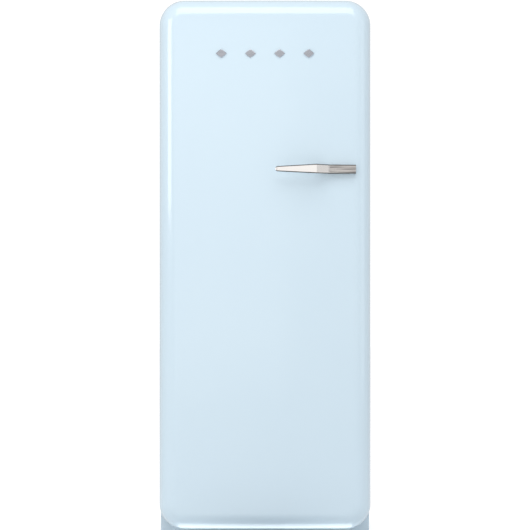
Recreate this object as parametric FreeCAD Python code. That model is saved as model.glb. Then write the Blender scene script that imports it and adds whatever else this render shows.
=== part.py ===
"""A free-standing retro refrigerator: one tall pillow-edged door, a freezer box at the top inside.

Frame: +Z up, the front faces -Y, the origin lies on the floor under the middle of the whole object.
All sizes are in millimetres. Every piece is written to its own file, parts/NODE.step.
"""

import FreeCAD, Part
import math
import os

V = FreeCAD.Vector

# ---------------------------------------------------------------- driving dimensions
PAST = 1.0  # a cutting block runs this far past the face it cuts
SINK = 1.0  # a joined block reaches this far into its neighbour

# Outside
DOOR_W = 601.0  # door width
DOOR_H = 1505.0  # door height
DOOR_LIFT = 45.0  # lower edge of the door above the floor
CORNER_R = 72.0  # corner radius of the door, seen from the front
MIN_R = 6.0  # smallest corner radius of a moulded outline
CAB_D = 545.0  # cabinet depth, front frame to rear panel
FOOT_H = 22.0  # underside of the cabinet above the floor
SIDE_STEP = 0.5  # the cabinet side stands this far inside the door side
GAP = 12.0  # door back to cabinet face, filled by the gasket

# Door
DOOR_T = 113.0  # thickness at the middle of the door
CROWN = 6.0  # bulge of the front across its width
ROLL_R = 50.0  # radius of the rolled front edge
DIKE_CLEAR = 5.0  # outer side of the liner's raised dike to the cavity wall
DIKE_W = 28.0  # width of the dike
DIKE_H = 38.0  # height of the dike off the door's back
GASKET_INSET = 20.0  # outer side of the gasket, from the door side
GASKET_W = 18.0  # width of the gasket
GASKET_FREE = 0.3  # gap left between gasket and cabinet face

# Walls
SHEET = 1.0  # painted steel sheet
FRAME_T = 1.5  # front frame
LINER = 2.5  # white plastic liner
WALL = 45.0  # insulated side and top walls
BACK_WALL = 55.0  # insulated back wall
CAVITY_R = 30.0  # corner radius of the cavity
FOOT_CORNER_R = 3.0  # lower corners of the front frame
SKIRT_R = 0.5  # lower corners of the cabinet's sheets
BAY_D = 180.0  # compressor bay depth
BAY_H = 193.0  # compressor bay height, from the underside
BAY_WALL = 35.0  # insulation over and before the bay
BAY_SIDE = 32.0  # insulation beside the bay
TRAY_T = 2.0  # steel base tray

# Door hinge
AXIS_IN = 20.0  # hinge axis from the door side
AXIS_DEPTH = 40.0  # hinge axis from the door's back
ARM_DROP = 41.0  # outer face of a hinge arm from the door's end
ARM_T = 4.0  # thickness of a hinge arm
ARM_LEFT = 10.0  # arm to the left of the axis
ARM_LIP = 2.0  # arm around the pin, to the right
ARM_FRONT = 8.0  # arm before the axis
BRACKET_T = 3.0  # bracket plate on the cabinet face
BRACKET_W = 16.0  # bracket plate width
BRACKET_H = 60.0  # bracket plate height
BRACKET_IN = 1.0  # bracket plate from the inside of the sheet
PIN_R = 4.0  # hinge pin radius
PIN_L = 25.0  # hinge pin length
PIN_END = 2.0  # room under the end of a hinge pin
BUSH_T = 3.0  # wall of a hinge bush
RUNNING = 0.05  # radial clearance of a running pin
PLAY = 0.3  # end play between faces that turn or slide past each other
POCKET_FRONT = 22.0  # hinge pocket before the axis
POCKET_RIGHT = 14.0  # hinge pocket to the right of the axis
POCKET_T = 2.0  # wall of the plastic hinge pocket
POCKET_CLEAR = 2.0  # arm to pocket floor

# Handle
HANDLE_DROP = 483.0  # middle of the handle under the door's upper edge
HANDLE_EDGE = 44.0  # fixed end of the handle from the door side
HANDLE_LEN = 227.5  # handle length
GRIP_LEN = 116.0  # straight grip, from the free end
BEND_LEN = 38.0  # sloping part between grip and foot
HANDLE_OUT = 50.0  # farthest front of the handle before the door
TIP_OUT = 43.0  # front of the free end before the door
FOOT_OUT = 16.0  # front of the handle foot before the door
GRIP_T = 9.0  # thickness of the grip
TIP_H = 14.0  # height of the free end
ROOT_H = 26.3  # height where the grip meets the bend
HANDLE_FOOT_H = 24.5  # height of the foot's end
TIP_THIN = 2.0  # the free end is thinner than the grip by this
FOOT_RISE = 3.0  # the foot slopes down to its end by this
NECK_IN = 5.0  # back of the bend, beyond the foot
NECK_DEEP = 4.0  # back of the bend, behind the foot's front
SCREW_R = 2.5  # handle screws
SCREW_L = 24.0  # handle screw length
SCREW_OUT = 8.0  # handle screw ends before the door
SCREW_PLACES = (20.0, 52.0)  # handle screws from the foot's end
SCREW_HEAD_T = 3.0  # thickness of a handle screw head
SCREW_HEAD_R = 5.0  # handle screw heads

# Badge
BADGE_DROP = 155.5  # middle of the four studs under the door's upper edge
BADGE_STUDS = 4  # number of studs
BADGE_PITCH = 82.4  # stud to stud
BADGE_W = 30.0  # width of one lozenge stud
BADGE_H = 24.0  # height of one lozenge stud
BADGE_T = 3.0  # a stud stands off the door this far

# Shelves and drawers
SHELF_FRONT = 125.0  # front of shelves and drawers behind the cabinet face
SHELF_GAP = 25.0  # shelf back edge to the back wall
GLASS_T = 4.0  # glass thickness
GLASS_SIDE = 2.0  # glass edge to the side wall
RIB_OUT = 9.0  # shelf rib off the side wall
RIB_H = 8.0  # shelf rib height
RIB_SET = 6.0  # ribs start behind the front of the shelves
COVER_SIDE = 4.0  # crisper's glass cover to the back wall
TRIM_R = 5.0  # half height of the shelf trim
TRIM_D = 10.0  # depth of the shelf trim
TRIM_LIP = 4.0  # front of the trim before the glass
SHELF_NAMES = ("lower", "middle", "upper")  # glass shelves, evenly spaced under the bottle rack
CHILL_HEADROOM = 15.5  # free height over the chill drawer
RACK_R = 3.0  # rods of the bottle rack
RACK_RODS = 11  # long rods of the bottle rack
ROD_LESS = 0.5  # the long rods are thinner in radius by this
RACK_SET = 8.0  # rack behind the front of the shelves
RACK_EDGE = 20.0  # outermost long rod from the end of the rack
DRAWER_SIDE = 32.5  # drawer lip to the side wall
DRAWER_LIP = 8.0  # drawer lip out of the drawer side
DRAWER_T = 3.0  # drawer wall
DRAWER_BACK = 5.0  # crisper to the step over the bay
DRAWER_LIFT = 3.0  # drawer over the liner floor
DRAWER_HEADROOM = 6.0  # free height over the crisper
CHILL_LIFT = 5.0  # chill drawer over the crisper's glass cover
CHILL_H = 95.0  # height of the chill drawer
RUNNER_H = 12.0  # drawer runner height
RUNNER_SET = 2.0  # runners behind the front of the drawers
GRIP_HALF = 60.0  # half the length of a drawer's pull ridge
GRIP_OUT = 6.0  # pull ridge before the drawer's front
RIDGE_LOW = 22.0  # underside of the pull ridge under the drawer's rim
RIDGE_HIGH = 14.0  # top of the pull ridge under the drawer's rim

# Freezer
FREEZER_H = 230.0  # height of the freezer box
FREEZER_SET = 121.0  # freezer frame behind the cabinet face
FREEZER_FRAME_T = 15.0  # freezer frame thickness
FREEZER_WALL = 12.0  # freezer box wall
FREEZER_BACK = 30.0  # freezer box back to the back wall
PLATE_T = 1.5  # aluminium evaporator plate
PLATE_FRONT = 10.0  # evaporator plate behind the freezer frame
PLATE_BACK = 6.0  # evaporator plate to the freezer's back
FREEZER_LOW_R = 2.0  # lower outer corners of the freezer
FREEZER_IN_R = 6.0  # lower inner corners of the freezer
FRAME_IN_R = 10.0  # corners of the freezer frame's opening
FREEZER_DOOR_R = 14.0  # upper corners of the freezer door
FREEZER_RAIL = 24.0  # width of the freezer frame
FREEZER_DOOR_T = 20.0  # freezer door thickness
FREEZER_DOOR_GAP = 4.0  # freezer door to its frame
FREEZER_DOOR_SIDE = 16.5  # freezer door to the side wall
FREEZER_DOOR_EDGE = 10.0  # freezer door inside the frame at top and bottom
FREEZER_AXIS_IN = 8.0  # freezer hinge from the freezer door's left side
FREEZER_PIN_R = 3.0  # freezer hinge pins
FREEZER_PIN_L = 11.0  # freezer hinge pin length
FREEZER_HOLE = 12.0  # depth of a freezer hinge hole
FREEZER_GRIP_IN = 14.0  # freezer grip from the free side
FREEZER_GRIP_W = 12.0  # freezer grip width
FREEZER_GRIP_OUT = 13.0  # freezer grip before the freezer door
FREEZER_GRIP_L = 90.0  # freezer grip length
EAR_T = 4.0  # thickness of the ears that carry the freezer hinge pins
EAR_RIGHT = 12.0  # ear to the right of the pin
EAR_FRONT = 8.0  # ear before the pin

# Controls
HOUSING_HALF = 110.0  # half the width of the control housing
HOUSING_D = 140.0  # control housing depth
HOUSING_H = 36.0  # control housing height
HOUSING_T = 3.0  # control housing wall
LAMP_COVER_T = 2.5  # thickness of the lamp cover
BOSS_R = 7.0  # boss around the knob's spindle
BOSS_L = 14.0  # length of the boss
SPINDLE_HOLE = 12.0  # depth of the spindle's hole
KNOB_R = 13.0  # thermostat knob radius
KNOB_T = 12.0  # thermostat knob thickness
KNOB_X = 80.0  # knob from the middle
SPINDLE_R = 3.0  # knob spindle
SPINDLE_OUT = 6.0  # spindle behind the knob
RIDGE_T = 5.0  # width of the knob's pointer ridge
RIDGE_OUT = 3.0  # pointer ridge before the disc
RIDGE_IN = 2.0  # pointer ridge from the disc's edge
SWITCH_IN = 16.5  # light switch from the side wall
SWITCH_DROP = 30.0  # light switch under the freezer box
SWITCH_CLEAR = 6.0  # switch housing behind the closed door's dike
SWITCH_D = 30.0  # depth of the switch housing
SWITCH_H = 26.0  # height of the switch housing
SWITCH_LIP = 9.0  # switch housing around the plunger
PLUNGER_L = 23.7  # light switch plunger length
PLUNGER_R = 4.0  # light switch plunger
FAN_R = 72.0  # fan cover radius
FAN_D = 40.0  # fan cover depth
FAN_T = 2.5  # fan cover wall
SLOT_IN = 14.0  # inner radius of the first slot
SLOT_W = 12.0  # width of a round slot
SLOT_PITCH = 16.0  # slot to slot
SLOTS = 3  # round slots
BAR_W = 4.0  # bars across the slots
BARS = 3  # bars across the slots, evenly turned
MOTOR_D = 14.0  # fan motor depth
MOTOR_R = 20.0  # fan motor radius
HUB_R = 14.0  # fan hub radius
SHAFT_R = 2.0  # fan shaft radius
SHAFT_IN = 3.0  # motor left under the shaft's hole
SHAFT_END = 2.0  # shaft's end to the hole's end
HUB_SET = 6.0  # hub behind the front of the fan cover
HUB_GAP = 1.0  # hub to the motor
BLADE_T = 1.6  # thickness of a blade
BLADE_ROOT = 4.0  # blade root inside the hub
BLADES = 5  # fan blades
BLADE_GAP = 12.0  # blade tips to the fan cover
BLADE_TILT = 26.0  # pitch of a blade in degrees

# Door bins
BIN_D = 118.0  # bin depth off the door's back
BIN_T = 2.5  # bin wall
BIN_LIFT = 14.0  # lowest bin over the dike
BIN_HEIGHTS = {"bottle_bin": 100.0, "middle_bin": 80.0, "upper_bin": 80.0}  # evenly spaced bins
DAIRY_DROP = 262.5  # underside of the dairy bin under the freezer box
DAIRY_BIN_H = 75.0  # height of the dairy bin
RAIL_R = 2.5  # chrome bin rail
RAIL_UP = 16.0  # rail over the bin
RAIL_IN = 10.0  # rail from the bin's ends
RAIL_BEND = 9.0  # bends of the rail
LID_T = 2.5  # dairy lid
LID_AXIS_IN = 6.0  # dairy lid hinge off the door's back
LID_PIN_R = 2.0  # dairy lid pins
KNUCKLE_R = 3.5  # dairy lid knuckle
LID_LIFT = 1.0  # dairy lid over its bin
CHEEK_LEN = 14.0  # cheeks that carry the lid, off the door's back
CHEEK_RISE = 12.0  # cheeks over the bin
LIP_HALF = 40.0  # half the length of the lid's lip
LIP_T = 3.0  # thickness of the lid's lip
LIP_H = 9.0  # height of the lid's lip

# Rear
COIL_OUT = 28.0  # spacers behind the rear panel
COIL_Y = 16.0  # middle of the condenser tube behind the rear panel
COIL_TUBE_R = 2.4  # condenser tube
COIL_WIRE_R = 0.8  # condenser wires
COIL_SIDE = 75.0  # condenser from the cabinet side
COIL_LIFT = 85.0  # lowest run of the condenser over the bay
COIL_DROP = 130.0  # highest run of the condenser under the top
COIL_RUNS = 20  # level runs
COIL_WIRES = 29  # upright wires
WIRE_EDGE = 30.0  # outermost wire from the condenser's side
SPACER_W = 30.0  # width of a wall spacer
SPACER_H = 26.0  # height of a wall spacer
SPACER_IN = 12.0  # spacer inside the condenser's side
WIRE_OVER = 12.0  # wires past the outer runs
COIL_LEAD = 40.0  # condenser tube under its lowest run
BEND_LESS = 0.5  # a bend is smaller than half the pitch by this
COMP_X = 40.0  # compressor from the middle
COMP_BACK = 92.0  # compressor axis from the rear
COMP_R = 72.0  # compressor radius
COMP_H = 148.0  # compressor height
COMP_LIFT = 3.0  # compressor pot over the underside of its legs
SEAM_Z = 70.0  # weld seam over the pot's base
SEAM_OUT = 5.0  # weld seam off the pot
SEAM_H = 6.0  # height of the weld seam
POT_BASE = 14.0  # slope at the pot's base
SHOULDER = (34.0, 14.0)  # start and end of the pot's shoulder, under its top
SHOULDER_IN = (10.0, 34.0)  # shoulder and top, inside the pot's side
LEG_HALF = 96.0  # half the length of a leg
LEG_W = 28.0  # width of a leg
LEG_T = 4.0  # thickness of a leg
LEG_Y = 50.0  # legs from the compressor axis
RELAY_IN = 20.0  # relay inside the pot's side
RELAY_OUT = 34.0  # relay off the pot's side
RELAY_W = 52.0  # width of the relay
RELAY_H = 36.0  # height of the relay
RELAY_Z = 30.0  # relay over the legs
GROMMET_H = 12.0  # rubber mounts under the compressor
GROMMET_R = 10.0  # radius of a rubber mount
GROMMET_X = 84.0  # rubber mounts from the compressor axis
PIPE_R = 3.0  # copper pipes
PIPE_Z = 100.0  # discharge pipe over the compressor's legs
PIPE_IN = 12.0  # pipes start inside the pot's side
HOT_Y = 20.0  # discharge pipe behind the compressor axis
HOT_OUT = 26.0  # riser of the discharge pipe off the pot's side
HOT_BEND = 12.0  # bends of the discharge pipe
COLD_Y = 10.0  # suction pipe before the compressor axis
COLD_DROP = 30.0  # suction pipe under the discharge pipe
COLD_SIDE = 50.0  # riser of the suction pipe from the cabinet side
COLD_OUT = 8.0  # riser of the suction pipe behind the rear panel
COLD_BEND = 7.5  # bends of the suction pipe
COLD_UP = 40.0  # suction pipe enters the back over the condenser
DRIER_R = 9.0  # drier radius
DRIER_L = 100.0  # drier length
DRIER_CONE = 12.0  # tapered ends of the drier
DRIER_X = 70.0  # drier off the compressor's side
DRIER_Z = 70.0  # drier over the underside of the cabinet
DRIER_BACK = 24.0  # drier axis from the rear
PAN_H = 18.0  # evaporation tray height
PAN_L = 160.0  # evaporation tray length
PAN_W = 120.0  # evaporation tray width
PAN_T = 2.0  # evaporation tray wall
INLET_SIDE = 90.0  # terminal box from the cabinet side
INLET_BACK = 10.0  # terminal box from the rear
INLET_W = 52.0  # width of the terminal box
INLET_D = 34.0  # depth of the terminal box
INLET_TOP = 44.0  # top of the terminal box over the underside
GLAND_Z = 24.0  # cable gland over the underside
GLAND_R = 8.0  # cable gland radius
GLAND_L = 12.0  # cable gland length
CABLE_R = 3.5  # hole for the cable
CABLE_DEEP = 20.0  # cable hole inside the box

# Feet
PAD_R = 17.0  # front foot pad radius
PAD_H = 10.0  # front foot pad height
STUD_R = 4.0  # front foot stud
STUD_L = 44.0  # front foot stud length
FOOT_IN = 50.0  # front feet from the cabinet side
FOOT_Y = 45.0  # front feet behind the cabinet face
SOCKET_R = 8.0  # foot socket
SOCKET_H = 48.0  # foot socket height
SOCKET_END = 4.0  # socket left over its bore
SOCKET_HOLE = 1.0  # the tray's hole starts under the tray by this
COLLAR_R = 13.0  # six-sided collar of a foot
COLLAR_H = 5.0  # height of the collar
PAD_RIM = 6.0  # height of the round pad
ROLLER_R = 15.0  # rear roller radius
ROLLER_W = 16.0  # rear roller width
ROLLER_IN = 65.0  # rear rollers from the cabinet side
ROLLER_Y = 50.0  # rear rollers from the rear
AXLE_R = 3.0  # roller axle
CHEEK_T = 2.0  # roller bracket cheeks and flanges
CHEEK_HALF = 14.0  # half the length of a cheek
CHEEK_LOW = 8.0  # cheek under the axle
FLANGE_OUT = 12.0  # flange off the roller
WINDOW_HALF = 17.0  # half the length of the tray's window

# ---------------------------------------------------------------- derived places
TOP = DOOR_LIFT + DOOR_H
HALF = DOOR_W / 2
CAB_HALF = HALF - SIDE_STEP
CAB_R = CORNER_R - SIDE_STEP
DEPTH = HANDLE_OUT + DOOR_T + GAP + CAB_D + COIL_OUT
FRONT = HANDLE_OUT - DEPTH / 2  # door front at its middle
DOOR_BACK = FRONT + DOOR_T
FACE = DOOR_BACK + GAP  # cabinet face
BACK = FACE + CAB_D
CROWN_R = (HALF**2 + CROWN**2) / (2 * CROWN)
AXIS_X = AXIS_IN - HALF
AXIS_Y = DOOR_BACK - AXIS_DEPTH
ARM_Z = TOP - ARM_DROP - ARM_T  # underside of the upper arm
MIRROR_Z = DOOR_LIFT + TOP  # twice the height of the door's middle
IN_HALF = CAB_HALF - WALL - LINER
IN_TOP = TOP - WALL - LINER
IN_FLOOR = DOOR_LIFT + WALL + LINER
IN_BACK = BACK - BACK_WALL - LINER
DIKE_INSET = HALF - IN_HALF + DIKE_CLEAR
DIKE_Y1 = DOOR_BACK + DIKE_H
BUSH_R = PIN_R + BUSH_T
ARM_RIGHT = PIN_R + ARM_LIP
HANDLE_Z = TOP - HANDLE_DROP
HANDLE_TIP = HALF - HANDLE_EDGE - HANDLE_LEN
BADGE_Z = TOP - BADGE_DROP
BAY_TOP = FOOT_H + BAY_H
BAY_FRONT = BACK - BAY_D
BAY_HALF = CAB_HALF - SHEET - BAY_SIDE
HUMP_TOP = BAY_TOP + BAY_WALL + LINER
HUMP_FRONT = BAY_FRONT - BAY_WALL - LINER
SHELF_Y0 = FACE + SHELF_FRONT
SHELF_Y1 = IN_BACK - SHELF_GAP
COVER_Z = HUMP_TOP  # underside of the crisper's glass cover
CHILL_Z = COVER_Z + GLASS_T + CHILL_LIFT
LOWER_SHELF_Z = CHILL_Z + CHILL_H + CHILL_HEADROOM
FREEZER_Z = IN_TOP - FREEZER_H
HOUSING_Z = FREEZER_Z - HOUSING_H
SHELF_PITCH = (HOUSING_Z - LOWER_SHELF_Z) / (len(SHELF_NAMES) + 1)
RACK_Z = HOUSING_Z - SHELF_PITCH
FAN_Z = (HOUSING_Z + RACK_Z) / 2
KNOB_Z = FREEZER_Z - HOUSING_H / 2
SWITCH_Z = FREEZER_Z - SWITCH_DROP
SWITCH_X = IN_HALF - SWITCH_IN
SWITCH_Y0 = DIKE_Y1 + SWITCH_CLEAR
DRAWER_HALF = IN_HALF - DRAWER_SIDE
FREEZER_DOOR_HALF = IN_HALF - FREEZER_DOOR_SIDE
FREEZER_Y0 = FACE + FREEZER_SET
FREEZER_DOOR_Y1 = FREEZER_Y0 - FREEZER_DOOR_GAP
FREEZER_DOOR_Y0 = FREEZER_DOOR_Y1 - FREEZER_DOOR_T
FREEZER_AXIS_X = FREEZER_AXIS_IN - FREEZER_DOOR_HALF
FREEZER_AXIS_Y = (FREEZER_DOOR_Y0 + FREEZER_DOOR_Y1) / 2
BIN_HALF = HALF - DIKE_INSET - DIKE_W
BOTTLE_BIN_Z = DOOR_LIFT + DIKE_INSET + DIKE_W + BIN_LIFT
DAIRY_BIN_Z = FREEZER_Z - DAIRY_DROP
BIN_PITCH = (DAIRY_BIN_Z - BOTTLE_BIN_Z) / len(BIN_HEIGHTS)
COIL_HALF = CAB_HALF - COIL_SIDE
COIL_LOW = BAY_TOP + COIL_LIFT
COIL_HIGH = TOP - COIL_DROP
FOOT_X = CAB_HALF - FOOT_IN
ROLLER_X = CAB_HALF - ROLLER_IN
COMP_Y = BACK - COMP_BACK
COMP_Z = FOOT_H + TRAY_T + GROMMET_H
LID_Y = DOOR_BACK + LID_AXIS_IN
LID_Z = DAIRY_BIN_Z + DAIRY_BIN_H + LID_LIFT + KNUCKLE_R


# ---------------------------------------------------------------- shape helpers
def box(x0, x1, y0, y1, z0, z1):
    """Return the block between two corners."""
    return Part.makeBox(x1 - x0, y1 - y0, z1 - z0, V(x0, y0, z0))


def rod(start, direction, length, radius):
    """Return a round rod from a start point."""
    return Part.makeCylinder(radius, length, V(*start), V(*direction))


def panel(x0, x1, z0, z1, r_low, r_top, y0, y1):
    """Return a plate seen from the front with rounded lower and upper corners."""
    corners = [(x0, z0, r_low), (x1, z0, r_low), (x1, z1, r_top), (x0, z1, r_top)]
    turns = [(1, 1), (-1, 1), (-1, -1), (1, -1)]
    starts = []
    for index, ((x, z, r), (sx, sz)) in enumerate(zip(corners, turns)):
        level = V(x + sx * r, y0, z)
        upright = V(x, y0, z + sz * r)
        leg = r * (1 - math.sqrt(0.5))
        middle = V(x + sx * leg, y0, z + sz * leg)
        first, last = (upright, level) if index % 2 == 0 else (level, upright)
        starts.append((first, middle, last))
    edges = []
    for index, (first, middle, last) in enumerate(starts):
        edges.append(Part.Arc(first, middle, last).toShape())
        following = starts[(index + 1) % 4][0]
        edges.append(Part.LineSegment(last, following).toShape())
    return Part.Face(Part.Wire(edges)).extrude(V(0, y1 - y0, 0))


def door_panel(inset, y0, y1, sharpen=0.0):
    """Return a plate with the door's outline moved inward by inset, its corners sharper by a radius."""
    r = max(CORNER_R - inset - sharpen, MIN_R)
    return panel(inset - HALF, HALF - inset, DOOR_LIFT + inset, TOP - inset, r, r, y0, y1)


def ring(outer, inner, y0, y1, sharpen=0.0):
    """Return a closed frame between two insets of the door's outline."""
    return door_panel(outer, y0, y1, sharpen).cut(door_panel(inner, y0 - PAST, y1 + PAST, sharpen))


def plate(points, height, z):
    """Return a flat plan outline, given as x, y points, raised by height from level z."""
    loop = [V(x, y, z) for x, y in points]
    return Part.Face(Part.makePolygon(loop + loop[:1])).extrude(V(0, 0, height))


def bent_tube(points, radius, bend):
    """Return a round tube along straight runs with rounded bends."""
    path = [V(*p) for p in points]
    edges = []
    at = path[0]
    for before, corner, after in zip(path, path[1:], path[2:]):
        come = (corner - before).normalize()
        go = (after - corner).normalize()
        turn = come.getAngle(go)
        reach = bend * math.tan(turn / 2)
        first = corner - come * reach
        last = corner + go * reach
        inward = (go - come).normalize()
        middle = corner + inward * (bend / math.cos(turn / 2) - bend)
        if (first - at).Length > 1e-6:
            edges.append(Part.LineSegment(at, first).toShape())
        edges.append(Part.Arc(first, middle, last).toShape())
        at = last
    edges.append(Part.LineSegment(at, path[-1]).toShape())
    start = (path[1] - path[0]).normalize()
    mouth = Part.Wire(Part.makeCircle(radius, path[0], start))
    return Part.Wire(edges).makePipeShell([mouth], True, True)


def mirrored(shape):
    """Return the shape turned over the door's middle height."""
    return shape.mirror(V(0, 0, MIRROR_Z / 2), V(0, 0, 1))


def both_sides(shape):
    """Return the shape with its twin across the middle."""
    return [shape, shape.mirror(V(0, 0, 0), V(1, 0, 0))]


def joined(shapes):
    """Return the shapes fused to one solid."""
    return shapes[0].multiFuse(shapes[1:]).removeSplitter()


# ---------------------------------------------------------------- door
def door_body(inset):
    """Return the full door block with rolled front edges, moved inward by inset."""
    block = door_panel(inset, FRONT - PAST, DOOR_BACK)
    radius = CROWN_R - inset
    bulge = rod((0, FRONT + CROWN_R, 0), (0, 0, 1), TOP + 100, radius)
    block = block.common(bulge)
    limit = FRONT + inset + CROWN + 1
    edges = [e for e in block.Edges if e.BoundBox.YMax < limit]
    return block.makeFillet(ROLL_R - inset, edges)


def pocket_box(grow, back):
    """Return the block of the upper hinge pocket, grown by a wall to front, right and below."""
    x1 = AXIS_X + POCKET_RIGHT + grow
    y0 = AXIS_Y - POCKET_FRONT - grow
    return box(-HALF - PAST, x1, y0, back, ARM_Z - POCKET_CLEAR - grow, TOP + PAST)


def bush(radius):
    """Return the cylinder around the upper hinge pin that a bush fills."""
    return rod((AXIS_X, AXIS_Y, ARM_Z - PLAY), (0, 0, -1), PIN_L + PIN_END, radius)


def hinge_bush():
    """Return the plastic sleeve that turns on the upper pin."""
    return bush(BUSH_R).cut(bush(PIN_R + RUNNING))


def hinge_pocket(inside):
    """Return the moulding that lines the upper hinge pocket."""
    shape = pocket_box(POCKET_T, DOOR_BACK).common(inside)
    return shape.cut([pocket_box(0, DOOR_BACK + PAST), bush(BUSH_R)])


def dike(inset, height):
    """Return the raised dike of the door liner as a block, thinned by inset."""
    y1 = DOOR_BACK + height - inset
    sharpen = CORNER_R - DIKE_INSET - (CAVITY_R - DIKE_CLEAR)
    return ring(DIKE_INSET + inset, DIKE_INSET + DIKE_W - inset, DOOR_BACK - LINER, y1, sharpen)


def screw_shank(x):
    """Return the shank of the handle screw at a place across the door."""
    return rod((x, FRONT - SCREW_OUT, HANDLE_Z), (0, 1, 0), SCREW_L, SCREW_R)


def handle_screws():
    """Return the two screws that hold the handle foot."""
    screws = []
    for place in SCREW_PLACES:
        x = HANDLE_TIP + HANDLE_LEN - place
        shank = screw_shank(x)
        head = rod((x, FRONT - SCREW_OUT + SCREW_L, HANDLE_Z), (0, 1, 0), SCREW_HEAD_T, SCREW_HEAD_R)
        screws.append(joined([shank, head]))
    return screws


def handle(body, screws):
    """Return the cantilever grip: its plan outline crossed with its front outline."""
    x0 = HANDLE_TIP
    x1 = x0 + GRIP_LEN
    x2 = x1 + BEND_LEN
    x3 = x0 + HANDLE_LEN
    sole = FRONT + 2 * CROWN
    plan = [
        (x0, FRONT - TIP_OUT),
        (x1, FRONT - HANDLE_OUT),
        (x2, FRONT - FOOT_OUT),
        (x3, FRONT - FOOT_OUT + FOOT_RISE),
        (x3, sole),
        (x2 - GRIP_T, sole),
        (x2 - GRIP_T - NECK_IN, FRONT - FOOT_OUT + NECK_DEEP),
        (x1 - GRIP_T / 2, FRONT - HANDLE_OUT + GRIP_T),
        (x0, FRONT - TIP_OUT + GRIP_T - TIP_THIN),
    ]
    bar = plate(plan, ROOT_H, HANDLE_Z - ROOT_H / 2)
    outline = [
        (x0, TIP_H / 2),
        (x1, ROOT_H / 2),
        (x3, HANDLE_FOOT_H / 2),
        (x3, -HANDLE_FOOT_H / 2),
        (x1, -ROOT_H / 2),
        (x0, -TIP_H / 2),
    ]
    loop = [V(x, FRONT - HANDLE_OUT, HANDLE_Z + z) for x, z in outline]
    front = Part.Face(Part.makePolygon(loop + loop[:1])).extrude(V(0, HANDLE_OUT + 3 * CROWN, 0))
    return bar.common(front).cut([body] + screws)


def badge(body):
    """Return the four plain lozenge studs."""
    studs = []
    for index in range(BADGE_STUDS):
        x = (index - (BADGE_STUDS - 1) / 2) * BADGE_PITCH
        points = [(x - BADGE_W / 2, 0), (x, BADGE_H / 2), (x + BADGE_W / 2, 0), (x, -BADGE_H / 2)]
        loop = [V(px, FRONT - BADGE_T, BADGE_Z + pz) for px, pz in points]
        stud = Part.Face(Part.makePolygon(loop + loop[:1])).extrude(V(0, BADGE_T + CROWN, 0))
        studs.append(stud.cut(body))
    return studs


def door_bin(z0, height):
    """Return an open bin between the dikes of the door."""
    y1 = DOOR_BACK + BIN_D
    block = box(-BIN_HALF, BIN_HALF, DOOR_BACK, y1, z0, z0 + height)
    half = BIN_HALF - BIN_T
    z1 = z0 + height + PAST
    return block.cut(box(-half, half, DOOR_BACK + BIN_T, y1 - BIN_T, z0 + BIN_T, z1))


def bin_rail(z0, height):
    """Return the chrome rail standing on the inner edge of a bin."""
    y = DOOR_BACK + BIN_D - RAIL_R
    x = BIN_HALF - RAIL_IN
    z = z0 + height
    points = [(-x, y, z), (-x, y, z + RAIL_UP), (x, y, z + RAIL_UP), (x, y, z)]
    return bent_tube(points, RAIL_R, RAIL_BEND)


def dairy_bin():
    """Return the lidded bin with two cheeks that carry the lid's pins."""
    tub = door_bin(DAIRY_BIN_Z, DAIRY_BIN_H)
    z1 = DAIRY_BIN_Z + DAIRY_BIN_H
    cheek = box(BIN_HALF - BIN_T, BIN_HALF, DOOR_BACK, DOOR_BACK + CHEEK_LEN, z1 - SINK, z1 + CHEEK_RISE)
    tub = joined([tub] + both_sides(cheek))
    bore = rod((-BIN_HALF - PAST, LID_Y, LID_Z), (1, 0, 0), 2 * BIN_HALF + 2, LID_PIN_R + RUNNING)
    return tub.cut(bore)


def dairy_lid():
    """Return the lid that folds up against the door."""
    half = BIN_HALF - BIN_T - PLAY
    z0 = LID_Z - KNUCKLE_R
    flap = box(-half, half, LID_Y, DOOR_BACK + BIN_D, z0, z0 + LID_T)
    lip = box(-LIP_HALF, LIP_HALF, DOOR_BACK + BIN_D - LIP_T, DOOR_BACK + BIN_D, z0, z0 + LIP_H)
    knuckle = rod((-half, LID_Y, LID_Z), (1, 0, 0), 2 * half, KNUCKLE_R)
    pin = rod((PLAY - BIN_HALF, LID_Y, LID_Z), (1, 0, 0), 2 * (BIN_HALF - PLAY), LID_PIN_R)
    return joined([flap, lip, knuckle, pin])


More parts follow.
